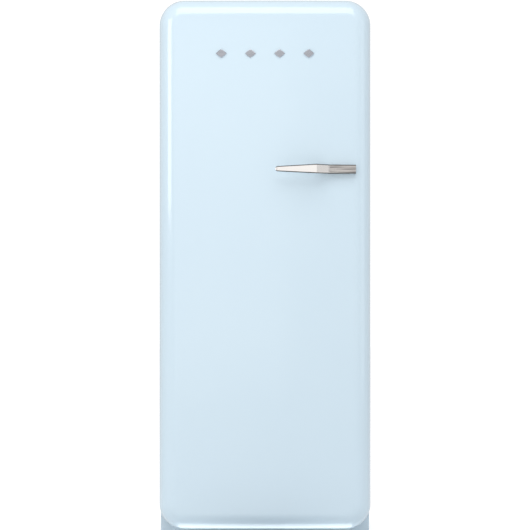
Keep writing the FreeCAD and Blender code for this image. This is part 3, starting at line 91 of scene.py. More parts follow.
# Floor, surround and camera
FLOOR_REACH = 14.0
FLOOR_GLOW = 0.45  # light that the floor adds where the camera sees it
SHADE_REACH = 0.38  # reach of the painted shade on the floor round the door's foot, where it throws less light back
SURROUND_LIGHT = 0.67
SURROUND_SEEN = 1.15
CAMERA_AWAY = 6.0  # camera before the widest outline of the door
CAMERA_DROP = 0.0007  # camera under the door's middle
DOOR_SHARE = 0.397736  # the door's width as a share of the view's width
STRIP_BACK = 0.035  # lip strip behind the door's front
STRIP_RISE = 0.003  # lip strip over the floor

# Handle: lengths run from its free end, and OUT is how far its front stands before the door
GRIP_LEN = 0.116
BEND_LEN = 0.038
TIP_OUT = 0.043
GRIP_OUT = 0.050
FOOT_OUT = 0.016
END_OUT = 0.013
TIP_T = 0.007  # thickness at the free end
GRIP_T = 0.009  # thickness where the grip ends
TIP_H = 0.014
FOOT_H = 0.0245
TIP_R = 0.008  # rounding of the free end
TIP_LEFT = 0.2  # share of the height that the rounding leaves
TIP_SQUEEZE = 0.3  # share of the thickness that it takes off front and back
BACK_FALLS = 0.014  # before the bend's end, the back turns to the door
BACK_MEETS = 0.009  # before the bend's end, the back is on the door
BACK_CLEAR = 0.012  # the back stands this far off the door where it turns
FOOT_SINK = 0.0004  # the foot goes this far into the door's front
EDGE_CUT = 0.0024  # bevel along the bar
LEAST_CUT = 0.0002  # bevel left at the free end
LOOP_GAPS = (0.001, 0.0008)  # first loop off the tip's rounding, and last loop off the end

# Rows of the door's faces and loops of the handle
SIDE_ROWS = 3
SIDE_REACH = 0.9  # share of the way from rim to roll that the side's rows take
ROLL_ROWS = 20
CROWN_ROWS = 13
CROWN_EASE = 1.4  # power that draws the crown's rows towards the roll
TIP_LOOPS = 10
BAR_LOOPS = 70

MERGE = 1e-5  # points nearer than this are one
HAIR = 1e-7  # two places nearer than this are the same
NUDGE = 1e-5  # turn between the two points of a notch's edge, in radians
SHARP_TURN = math.radians(38)  # edges that turn more than this stay sharp
HANDLE_SHARP = math.radians(14)
STUD_SHARP = math.radians(20)
QUARTER = math.pi / 2


# ---------------------------------------------------------------- meshes from grids
def grid_faces(rows, columns, closed_rows):
    """Return four-cornered faces of a grid whose columns close round, and whose rows may close too."""
    row = np.arange(rows if closed_rows else rows - 1)[:, None]
    column = np.arange(columns)[None, :]
    after = (column + 1) % columns
    below = (row + 1) % rows
    upper = (row * columns + column, row * columns + after)
    lower = (below * columns + after, below * columns + column)
    return np.stack(np.broadcast_arrays(*upper, *lower), -1).reshape(-1, 4)


def make_piece(name, grids, closed_rows=False, sharp=SHARP_TURN):
    """Return a piece made of grids of points, rows by columns by xyz, with seams and poles merged."""
    points = []
    faces = []
    count = 0
    for grid in grids:
        rows, columns, _ = grid.shape
        points.append(grid.reshape(-1, 3))
        faces.append(grid_faces(rows, columns, closed_rows) + count)
        count += rows * columns
    mesh = bpy.data.meshes.new(name)
    mesh.from_pydata(np.concatenate(points).tolist(), [], np.concatenate(faces).tolist())
    shell = bmesh.new()
    shell.from_mesh(mesh)
    bmesh.ops.remove_doubles(shell, verts=shell.verts, dist=MERGE)
    bmesh.ops.recalc_face_normals(shell, faces=shell.faces)
    shell.to_mesh(mesh)
    shell.free()
    mesh.shade_smooth()
    mesh.set_sharp_from_angle(angle=sharp)
    piece = bpy.data.objects.new(name, mesh)
    bpy.context.scene.collection.objects.link(piece)
    return piece


def stand_for(piece, body, slot, *nodes):
    """Let the piece ride on a body in place of its nodes."""
    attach(piece, body)
    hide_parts(*nodes)
    return piece


def round_outline(half_u, half_v, radius, turns, steps_v, steps_u):
    """Return centres and outward directions of a rounded rectangle, counter-clockwise from its lower right
    corner. A point at inset d is centre + (radius - d) * direction. On a corner the centre stays and the
    direction turns; on a side the direction stays and the centre moves."""
    cu, cv = half_u - radius, half_v - radius
    corners = np.array([(cu, -cv), (cu, cv), (-cu, cv), (-cu, -cv)])
    centres = []
    angles = []
    for index, turn in enumerate(turns):
        following = corners[(index + 1) % 4]
        steps = steps_v if index % 2 == 0 else steps_u
        share = np.linspace(0, 1, steps + 1)[1:-1, None]
        centres.append(np.tile(corners[index], (len(turn), 1)))
        centres.append(corners[index] * (1 - share) + following * share)
        angles.append(turn + (index - 1) * QUARTER)
        angles.append(np.full(len(share), index * QUARTER))
    angle = np.concatenate(angles)
    return np.concatenate(centres), np.stack([np.cos(angle), np.sin(angle)], 1)


def even_turns(count):
    """Return four equal corner turns of a quarter circle."""
    return [np.linspace(0, QUARTER, count)] * 4


def spine(points, half_u, half_v):
    """Return the nearest points of the rectangle's middle line, on which a flat end closes."""
    reach = np.array([max(half_u - half_v, 0), max(half_v - half_u, 0)])
    return np.clip(points, -reach, reach)


def stack_rings(centre, way, radii, heights):
    """Return rings of a rounded plan, one for each corner radius and height."""
    plan = centre + radii[:, None, None] * way
    level = np.broadcast_to(heights[:, None, None], plan.shape[:2] + (1,))
    return np.concatenate([plan, level], -1)


def closing_ring(centre, half, height):
    """Return the ring on the plan's middle line that closes a flat end."""
    level = np.full((len(centre), 1), height)
    return np.concatenate([spine(centre, half[0], half[1]), level], 1)[None]


def solid_block(low, high, radius):
    """Return a block with all edges rounded. A rounded plan is carried up a profile whose inset is
    radius * (1 - sin a) and whose height is radius * (1 - cos a) at both ends, then closed on its spine."""
    low, high = np.array(low), np.array(high)
    middle, half = (low + high) / 2, (high - low) / 2
    centre, way = round_outline(half[0], half[1], radius, even_turns(6), steps_v=8, steps_u=8)
    arc = np.linspace(0, QUARTER, 6)
    inset = radius * (1 - np.sin(arc))
    rise = radius * (1 - np.cos(arc))
    insets = np.concatenate([inset, inset[::-1]])
    heights = np.concatenate([rise - half[2], half[2] - rise[::-1]])
    rings = stack_rings(centre, way, radius - insets, heights)
    lower = closing_ring(centre, half, -half[2])
    upper = closing_ring(centre, half, half[2])
    return np.concatenate([lower, rings, upper]) + middle


def open_tub(low, high, wall, corner, base_r):
    """Return an open tub. Its plan is a rounded rectangle; its profile runs over the floor's lower face,
    round the base edge, up the wall, over the rim in a half circle, and back down to the floor inside."""
    low, high = np.array(low), np.array(high)
    middle, half = (low + high) / 2, (high - low) / 2
    centre, way = round_outline(half[0], half[1], corner, even_turns(9), steps_v=16, steps_u=32)
    tall = high[2] - low[2]
    arc = np.linspace(0, QUARTER, 7)
    rim = np.linspace(0, math.pi, 9)
    inner_r = base_r - wall
    inset = np.concatenate([
        base_r * (1 - np.sin(arc)),
        wall / 2 * (1 - np.cos(rim)),
        (wall + inner_r * (1 - np.sin(arc)))[::-1],
    ])
    height = np.concatenate([
        base_r * (1 - np.cos(arc)),
        tall + wall / 2 * (np.sin(rim) - 1),
        (wall + inner_r * (1 - np.cos(arc)))[::-1],
    ])
    rings = stack_rings(centre, way, corner - inset, height)
    floor_under = closing_ring(centre, half, 0.0)
    floor_inside = closing_ring(centre, half, wall)
    return np.concatenate([floor_under, rings, floor_inside]) + (middle[0], middle[1], low[2])


# ---------------------------------------------------------------- places read from the boxes
DOOR_LOW, DOOR_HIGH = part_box("door_skin")
HALF = DOOR_HIGH.x
FRONT = DOOR_LOW.y
DOOR_BACK = DOOR_HIGH.y
DOOR_MID = (DOOR_LOW.z + DOOR_HIGH.z) / 2
DOOR_TALL = (DOOR_HIGH.z - DOOR_LOW.z) / 2
CROWN_R = (HALF**2 + CROWN**2) / (2 * CROWN)
POCKET_LOW, POCKET_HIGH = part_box("hinge_pockets")
NOTCH_X = POCKET_HIGH.x - POCKET_WALL
NOTCH_Y = POCKET_LOW.y + POCKET_WALL
NOTCH_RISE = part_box("hinge_brackets")[1].z - ARM_T - ARM_CLEAR - DOOR_MID


# ---------------------------------------------------------------- door skin
def notch_turns():
    """Return the door's four corner turns, with a doubled point at each edge of both hinge notches."""
    from_side = math.asin((NOTCH_RISE - DOOR_TALL + CORNER_R) / CORNER_R)
    from_end = math.acos((CORNER_R - HALF - NOTCH_X) / CORNER_R)
    plain = np.linspace(0, QUARTER, 25)
    lower = np.concatenate([
        np.linspace(0, from_side, 7),
        np.linspace(from_side + NUDGE, from_end - NUDGE, 12),
        np.linspace(from_end, QUARTER, 9),
    ])
    return [plain, plain, (QUARTER - lower)[::-1], lower]


def door_face(centre, way, inset):
    """Return one face of the pressed door, rows from rim to middle. The side runs forward from the rim, a
    ball of the roll radius turns from the outward direction to the crown's own normal along the great circle
    between them, and the crown, a cylinder, closes on the door's middle line."""
    radius = ROLL_R - inset
    ball = centre + (CORNER_R - ROLL_R) * way
    swing = np.arcsin(ball[:, 0] / (CROWN_R - ROLL_R))
    ball_y = FRONT + CROWN_R - (CROWN_R - ROLL_R) * np.cos(swing)
    span = np.arccos(way[:, 0] * np.sin(swing))
    rim = centre + CORNER_R * way
    notched = (rim[:, 0] < NOTCH_X - HAIR) & (np.abs(rim[:, 1]) > NOTCH_RISE + HAIR)
    back = np.where(notched, NOTCH_Y, DOOR_BACK)
    lift = np.clip((ball_y - back) * np.sin(span) / (radius * np.cos(swing)), 0, 1)
    begin = np.arcsin(lift) / span
    share = begin + (1 - begin) * np.linspace(0, 1, ROLL_ROWS)[:, None]
    outward = np.sin((1 - share) * span) / np.sin(span)
    forward = np.sin(share * span) / np.sin(span)
    x = ball[:, 0] + radius * (outward * way[:, 0] + forward * np.sin(swing))
    z = ball[:, 1] + radius * outward * way[:, 1]
    y = ball_y - radius * forward * np.cos(swing)
    roll = np.stack([x, y, z], -1)
    side = np.repeat(roll[:1], SIDE_ROWS, 0)
    side[:, :, 1] = back + np.linspace(0, SIDE_REACH, SIDE_ROWS)[:, None] * (y[0] - back)
    ease = np.linspace(0, 1, CROWN_ROWS)[1:, None, None] ** CROWN_EASE
    edge = roll[-1][:, [0, 2]]
    flat = edge * (1 - ease) + spine(edge, HALF, DOOR_TALL) * ease
    crown = FRONT + CROWN_R - np.sqrt((CROWN_R - inset) ** 2 - flat[:, :, 0] ** 2)
    middle = np.stack([flat[:, :, 0], crown, flat[:, :, 1]], -1)
    return np.concatenate([side, roll, middle])


def door_skin():
    """Return the pressed door: outer face, rim and inner face as one closed sheet."""
    centre, way = round_outline(HALF, DOOR_TALL, CORNER_R, notch_turns(), steps_v=40, steps_u=18)
    outer = door_face(centre, way, 0.0)
    inner = door_face(centre, way, SHEET)
    sheet = np.concatenate([outer[::-1], inner]) + (0, 0, DOOR_MID)
    return make_piece("pressed_door_skin", [sheet])


# ---------------------------------------------------------------- gasket, handle, studs
def door_gasket():
    """Return the magnetic gasket: a bellows section, wide foot, pinched neck and flat magnet pad, carried
    round the door's outline. A squared sine takes the neck off the half width between foot and pad."""
    low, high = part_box("door_gasket")
    share = np.linspace(0, 1, 15)
    neck = np.sin(math.pi * np.clip(share / PINCH_END, 0, 1)) ** 2
    half = GASKET_W / 2 * (1 - PINCH * neck)
    half[-1] -= PAD_STEP
    depth = low.y + share * (high.y - low.y)
    inset = GASKET_INSET + GASKET_W / 2 + np.concatenate([half, -half[::-1]])
    depths = np.concatenate([depth, depth[::-1]])
    centre, way = round_outline(HALF, DOOR_TALL, CORNER_R, even_turns(14), steps_v=24, steps_u=12)
    plan = centre + (CORNER_R - inset)[:, None, None] * way
    level = np.broadcast_to(depths[:, None], plan.shape[:2])
    ring = np.stack([plan[:, :, 0], level, plan[:, :, 1] + DOOR_MID], -1)
    return make_piece("bellows_gasket", [ring], closed_rows=True)


def crown_at(x):
    """Return the depth of the door's front face at a place across its width."""
    return FRONT + CROWN_R - np.sqrt(CROWN_R**2 - np.asarray(x) ** 2)


def handle_section(x, out, back, half, bevel):
    """Return the eight-cornered loop of a flat bar with its four long edges cut off, for each place x."""
    out, back, half, bevel = (np.asarray(v)[:, None] for v in (out, back, half, bevel))
    sign_y = np.array([-1, -1, 1, 1, 1, 1, -1, -1])
    cut_y = np.array([0, 1, 1, 0, 0, 1, 1, 0])
    sign_z = np.array([1, 1, 1, 1, -1, -1, -1, -1])
    cut_z = np.array([1, 0, 0, 1, 1, 0, 0, 1])
    middle, deep = (out + back) / 2, (back - out) / 2
    y = middle + sign_y * (deep - cut_y * bevel)
    z = sign_z * (half - cut_z * bevel)
    return np.stack([np.broadcast_to(x[:, None], y.shape), y, z], -1)


def handle():
    """Return the cantilever handle: a bar whose front, back and height run straight from one place along
    its length to the next. Its free end is rounded by a quarter circle, and its foot meets the door."""
    low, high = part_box("handle_grip")
    x0, x3 = low.x, high.x
    x1 = x0 + GRIP_LEN
    x2 = x1 + BEND_LEN
    falls = x2 - BACK_FALLS
    meets = x2 - BACK_MEETS
    tip = x0 + np.linspace(0, 1, TIP_LOOPS) ** 2 * TIP_R
    along = np.linspace(x0 + TIP_R + LOOP_GAPS[0], x3 - LOOP_GAPS[1], BAR_LOOPS)
    x = np.unique(np.concatenate([tip, along, [x1, falls, meets, x2, x3]]))
    surface = low.y + GRIP_OUT
    out = surface - np.interp(x, [x0, x1, x2, x3], [TIP_OUT, GRIP_OUT, FOOT_OUT, END_OUT])
    back_out = [TIP_OUT - TIP_T, GRIP_OUT - GRIP_T, BACK_CLEAR, 0.0]
    back = surface - np.interp(x, [x0, x1 - GRIP_T / 2, falls, meets], back_out)
    back = np.where(x >= meets, crown_at(x) + FOOT_SINK, back)
    half = np.interp(x, [x0, x1, x3], [TIP_H / 2, (high.z - low.z) / 2, FOOT_H / 2])
    ending = np.sqrt(np.clip(1 - (1 - np.clip((x - x0) / TIP_R, 0, 1)) ** 2, 0, 1))
    half = half * (TIP_LEFT + (1 - TIP_LEFT) * ending)
    squeeze = (1 - ending) * TIP_SQUEEZE * (back - out)
    bevel = np.clip(EDGE_CUT * ending, LEAST_CUT, None)
    bar = handle_section(x, out + squeeze, back - squeeze, half, bevel)
    ends = [np.repeat(loop.mean(0, keepdims=True), 8, 0)[None] for loop in (bar[0], bar[-1])]
    grid = np.concatenate([ends[0], bar, ends[1]]) + (0, 0, (low.z + high.z) / 2)
    return make_piece("cast_handle", [grid], sharp=HANDLE_SHARP)


def lozenge_stud(x, low, high):
    """Return one stud. Its outline is |u| ** STUD_POWER + |v| ** STUD_POWER = 1 in half widths u and half
    heights v, and it rises from the door to a bevelled flat front."""
    turn = np.linspace(0, 2 * math.pi, 48, endpoint=False)
    power = 2 / STUD_POWER
    u = np.sign(np.cos(turn)) * np.abs(np.cos(turn)) ** power * BADGE_W / 2
    v = np.sign(np.sin(turn)) * np.abs(np.sin(turn)) ** power * (high.z - low.z) / 2
    size = np.array(STUD_SIZES)[:, None]
    rise = np.array(STUD_RISES)[:, None]
    base = crown_at(x + u) + STUD_SINK
    y = base * (1 - rise) + low.y * rise
    z = (low.z + high.z) / 2 + size * v
    return np.stack([x + size * u, y, z], -1)


def badge_studs():
    """Return the row of plain lozenge studs, evenly spaced between the ends of the row."""
    low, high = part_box("badge_studs")
    places = np.linspace(low.x + BADGE_W / 2, high.x - BADGE_W / 2, BADGE_STUDS)
    return make_piece("bevelled_studs", [lozenge_stud(x, low, high) for x in places], sharp=STUD_SHARP)


# ---------------------------------------------------------------- bins and drawers
def door_bins():
    """Make the three open door bins and the lidded dairy bin with its two cheeks."""
    for node in ("bottle_bin", "middle_bin", "upper_bin"):
        low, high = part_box(node)
        tub = open_tub(low, high, BIN_WALL, BIN_CORNER, BIN_BASE_R)
        piece = make_piece("moulded_" + node, [tub])
        finish_in(stand_for(piece, "door", "clear_plastic", node), "clear_plastic")
    low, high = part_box("dairy_bin")
    rim = high.z - CHEEK_RISE
    grids = [open_tub(low, (high.x, high.y, rim), BIN_WALL, BIN_CORNER, BIN_BASE_R)]
    for x in (low.x, high.x - BIN_WALL):
        corner = (x + BIN_WALL, low.y + CHEEK_LEN, high.z)
        grids.append(solid_block((x, low.y, rim - CHEEK_RISE), corner, CHEEK_R))
    piece = make_piece("moulded_dairy_bin", grids)
    finish_in(stand_for(piece, "door", "clear_plastic", "dairy_bin"), "clear_plastic")


def drawers():
    """Make both drawers: a tub, a lip along each side, and a ridge to pull it by."""
    for node in ("crisper_drawer", "chill_drawer"):
        low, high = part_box(node)
        side = high.x - DRAWER_LIP
        face = low.y + PULL_REACH
        tub_low = (-side, face, low.z)
        tub_high = (side, high.y, high.z)
        grids = [open_tub(tub_low, tub_high, DRAWER_WALL, DRAWER_CORNER, DRAWER_BASE_R)]
        for x0, x1 in ((low.x, OVERLAP - side), (side - OVERLAP, high.x)):
            grids.append(solid_block((x0, face, high.z - DRAWER_WALL), (x1, high.y, high.z), LIP_R))
        ridge_low = (-PULL_HALF, low.y, high.z - PULL_DROP[0])
        ridge_high = (PULL_HALF, face + OVERLAP, high.z - PULL_DROP[1])
        grids.append(solid_block(ridge_low, ridge_high, PULL_R))
        piece = make_piece("moulded_" + node, grids)
        finish_in(stand_for(piece, node, "clear_plastic", node), "clear_plastic")


# ---------------------------------------------------------------- effects shared by several finishes
MIX_SOCKETS = {"RGBA": (6, 2), "FLOAT": (2, 0)}  # first of the two mixed sockets, and the result's
SOFT_BAND = (0.35, 0.65)  # part of a noise pattern over which tones pass into each other
WIDE_BAND = (0.3, 0.7)  # part over which gloss changes
LINE_BAND = (0.32, 0.68)  # part over which drawn lines change tone
LINE_STRETCH = (0.22, 9.0, 9.0)  # drawn lines are long in x, fine in y and z
DUST_SLOPE = 0.3  # upward part of the way a surface faces, where dust begins to lie
DUST_SIZE = 30.0


def effect(name, inputs, outputs):
    """Return an empty effect with named sockets, and its two end nodes."""
    tree = bpy.data.node_groups.new(name, "ShaderNodeTree")
    for title, value in inputs:
        kind = "NodeSocketColor" if isinstance(value, tuple) else "NodeSocketFloat"
        socket = tree.interface.new_socket(title, in_out="INPUT", socket_type=kind)
        socket.default_value = value
    for title, kind in outputs:
        tree.interface.new_socket(title, in_out="OUTPUT", socket_type=kind)
    return tree, tree.nodes.new("NodeGroupInput"), tree.nodes.new("NodeGroupOutput")


def feed(tree, source, socket):
    """Feed a socket from another socket, or set it to a number or a colour."""
    if isinstance(source, bpy.types.NodeSocket):
        tree.links.new(source, socket)
    else:
        socket.default_value = (*source, 1.0) if isinstance(source, tuple) else source


def noise(tree, coordinate, size, detail):
    """Add a noise pattern on a coordinate, and return its value."""
    node = tree.nodes.new("ShaderNodeTexNoise")
    node.inputs["Detail"].default_value = detail
    tree.links.new(coordinate, node.inputs["Vector"])
    feed(tree, size, node.inputs["Scale"])
    return node.outputs["Fac"]


def blend(tree, share, first, second, kind="RGBA"):
    """Add a mix of two colours, or of two numbers."""
    node = tree.nodes.new("ShaderNodeMix")
    node.data_type = kind
    place, out = MIX_SOCKETS[kind]
    feed(tree, share, node.inputs[0])
    feed(tree, first, node.inputs[place])
    feed(tree, second, node.inputs[place + 1])
    return node.outputs[out]


def reckon(tree, operation, *values):
    """Add a sum, product or comparison of up to three values."""
    node = tree.nodes.new("ShaderNodeMath")
    node.operation = operation
    for value, socket in zip(values, node.inputs):
        feed(tree, value, socket)
    return node.outputs[0]


def remap(tree, value, low, high, low_to=0.0, high_to=1.0):
    """Add a map from one range to another, held at both ends."""
    node = tree.nodes.new("ShaderNodeMapRange")
    ends = {"Value": value, "From Min": low, "From Max": high, "To Min": low_to, "To Max": high_to}
    for title, source in ends.items():
        feed(tree, source, node.inputs[title])
    return node.outputs["Result"]


def object_place(tree):
    """Add the coordinate that stays with a piece."""
    return tree.nodes.new("ShaderNodeTexCoord").outputs["Object"]


def split(tree, vector):
    """Add the three parts of a vector."""
    node = tree.nodes.new("ShaderNodeSeparateXYZ")
    tree.links.new(vector, node.inputs["Vector"])
    return node.outputs


def facing(tree):
    """Add the three parts of the way a surface faces, which turns with its piece."""
    return split(tree, tree.nodes.new("ShaderNodeTexCoord").outputs["Normal"])


def uneven_tone():
    """Broad soft patches between two near tones, as on any large painted or moulded surface."""
    inputs = [("Size", 4.0), ("First", (1.0, 1.0, 1.0, 1.0)), ("Second", (0.9, 0.9, 0.9, 1.0))]
    tree, give, take = effect("uneven_tone", inputs, [("Colour", "NodeSocketColor")])
    pattern = noise(tree, object_place(tree), give.outputs["Size"], detail=3.0)
    share = remap(tree, pattern, *SOFT_BAND)
    mixed = blend(tree, share, give.outputs["First"], give.outputs["Second"])
    tree.links.new(mixed, take.inputs["Colour"])
    return tree


def surface_grain():
    """Fine all-over grain: a height for the bump, and a gloss that varies over broader patches."""
    inputs = [("Size", 900.0), ("Patch", 9.0), ("Smooth", 0.3), ("Rough", 0.5)]
    outputs = [("Height", "NodeSocketFloat"), ("Roughness", "NodeSocketFloat")]
    tree, give, take = effect("surface_grain", inputs, outputs)
    place = object_place(tree)
    fine = noise(tree, place, give.outputs["Size"], detail=2.0)
    broad = noise(tree, place, give.outputs["Patch"], detail=4.0)
    tree.links.new(fine, take.inputs["Height"])
    gloss = remap(tree, broad, *WIDE_BAND, give.outputs["Smooth"], give.outputs["Rough"])
    tree.links.new(gloss, take.inputs["Roughness"])
    return tree


def drawn_lines():
    """Fine lines along the width, as brushing or rolling leaves them on metal."""
    inputs = [("Size", 90.0), ("Smooth", 0.2), ("Rough", 0.4)]
    outputs = [("Height", "NodeSocketFloat"), ("Roughness", "NodeSocketFloat"), ("Share", "NodeSocketFloat")]
    tree, give, take = effect("drawn_lines", inputs, outputs)
    stretch = tree.nodes.new("ShaderNodeMapping")
    stretch.inputs["Scale"].default_value = LINE_STRETCH
    tree.links.new(object_place(tree), stretch.inputs["Vector"])
    lines = noise(tree, stretch.outputs["Vector"], give.outputs["Size"], detail=5.0)
    tree.links.new(lines, take.inputs["Height"])
    tree.links.new(remap(tree, lines, *LINE_BAND), take.inputs["Share"])
    gloss = remap(tree, lines, *WIDE_BAND, give.outputs["Smooth"], give.outputs["Rough"])
    tree.links.new(gloss, take.inputs["Roughness"])
    return tree


def settled_dust():
    """Dust that lies on what faces up, broken by patches."""
    inputs = [("Amount", 0.3), ("Clean", (0.5, 0.5, 0.5, 1.0)), ("Dust", (0.5, 0.48, 0.45, 1.0))]
    tree, give, take = effect("settled_dust", inputs, [("Colour", "NodeSocketColor")])
    upward = remap(tree, facing(tree)["Z"], DUST_SLOPE, 1.0)
    patches = noise(tree, object_place(tree), DUST_SIZE, detail=6.0)
    broken = reckon(tree, "MULTIPLY", upward, patches)
    share = reckon(tree, "MULTIPLY", broken, give.outputs["Amount"])
    mixed = blend(tree, share, give.outputs["Clean"], give.outputs["Dust"])
    tree.links.new(mixed, take.inputs["Colour"])
    return tree


def zinc_spangle():
    """Crystals of zinc: cells whose tone differs from one to the next."""
    inputs = [("Size", 55.0), ("First", (0.5, 0.5, 0.5, 1.0)), ("Second", (0.7, 0.7, 0.7, 1.0))]
    outputs = [("Colour", "NodeSocketColor"), ("Share", "NodeSocketFloat")]
    tree, give, take = effect("zinc_spangle", inputs, outputs)
    cells = tree.nodes.new("ShaderNodeTexVoronoi")
    tree.links.new(object_place(tree), cells.inputs["Vector"])
    tree.links.new(give.outputs["Size"], cells.inputs["Scale"])
    tone = tree.nodes.new("ShaderNodeSeparateColor")
    tree.links.new(cells.outputs["Color"], tone.inputs["Color"])
    mixed = blend(tree, tone.outputs[0], give.outputs["First"], give.outputs["Second"])
    tree.links.new(mixed, take.inputs["Colour"])
    tree.links.new(tone.outputs[0], take.inputs["Share"])
    return tree


TONE = uneven_tone()
GRAIN = surface_grain()
LINES = drawn_lines()
DUST = settled_dust()
SPANGLE = zinc_spangle()


# ---------------------------------------------------------------- finishes
BUMP_STRENGTH = 0.35


def bare_finish(name, **constants):
    """Return a new material's node tree and shader, with plain values on the shader's own sockets."""
    material = bpy.data.materials.new(name)
    material.use_nodes = True
    tree = material.node_tree
    shader = tree.nodes["Principled BSDF"]
    for title, value in constants.items():
        shader.inputs[title.replace("_", " ").title().replace("Ior", "IOR")].default_value = value
    return material, tree, shader


def place_effect(tree, group, **values):
    """Place an effect in a finish with its own values."""
    node = tree.nodes.new("ShaderNodeGroup")
    node.node_tree = group
    for title, value in values.items():
        feed(tree, value, node.inputs[title.title()])
    return node


def bump(tree, shader, height, depth):
    """Feed a height to the shader's normal."""
    node = tree.nodes.new("ShaderNodeBump")
    node.inputs["Strength"].default_value = BUMP_STRENGTH
    node.inputs["Distance"].default_value = depth
    tree.links.new(height, node.inputs["Height"])
    tree.links.new(node.outputs["Normal"], shader.inputs["Normal"])


def toned_finish(name, tones, tone_size, grain, depth, **constants):
    """Return a finish of two near tones with a grain. Grain is (size, patch, smooth, rough)."""
    material, tree, shader = bare_finish(name, **constants)
    tone = place_effect(tree, TONE, size=tone_size, first=tones[0], second=tones[1])
    tree.links.new(tone.outputs["Colour"], shader.inputs["Base Color"])
    size, patch, smooth, rough = grain
    texture = place_effect(tree, GRAIN, size=size, patch=patch, smooth=smooth, rough=rough)
    tree.links.new(texture.outputs["Roughness"], shader.inputs["Roughness"])
    bump(tree, shader, texture.outputs["Height"], depth)
    return material


def dusty_finish(name, tones, tone_size, grain, depth, dust, **constants):
    """Return a toned finish with dust on what faces up."""
    material = toned_finish(name, tones, tone_size, grain, depth, **constants)
    tree = material.node_tree
    colour = tree.nodes["Principled BSDF"].inputs["Base Color"]
    clean = colour.links[0].from_socket
    layer = place_effect(tree, DUST, amount=dust, clean=clean)
    tree.links.new(layer.outputs["Colour"], colour)
    return material


def drawn_finish(name, tones, size, smooth, rough, depth, **constants):
    """Return a metal with lines drawn along its width."""
    material, tree, shader = bare_finish(name, metallic=1.0, **constants)
    lines = place_effect(tree, LINES, size=size, smooth=smooth, rough=rough)
    tree.links.new(blend(tree, lines.outputs["Share"], *tones), shader.inputs["Base Color"])
    tree.links.new(lines.outputs["Roughness"], shader.inputs["Roughness"])
    bump(tree, shader, lines.outputs["Height"], depth)
    return material


def zinc_finish():
    """Return galvanised sheet: spangle in tone and bump, and a gloss in patches."""
    material, tree, shader = bare_finish("galvanised_sheet", metallic=0.9)
    cells = place_effect(tree, SPANGLE, size=130.0, first=(0.45, 0.47, 0.49), second=(0.58, 0.60, 0.62))
    grain = place_effect(tree, GRAIN, size=500.0, patch=14.0, smooth=0.32, rough=0.5)
    tree.links.new(cells.outputs["Colour"], shader.inputs["Base Color"])
    tree.links.new(grain.outputs["Roughness"], shader.inputs["Roughness"])
    bump(tree, shader, cells.outputs["Share"], depth=0.00006)
    return material


def paint_finish(name, tones, smooth, rough):
    """Return gloss enamel: two near tones, a faint orange peel and a clear coat."""
    return toned_finish(
        name,
        tones,
        tone_size=2.2,
        grain=(260.0, 5.0, smooth, rough),
        depth=0.00002,
        coat_weight=0.9,
        coat_roughness=0.08,
        ior=1.5,
    )


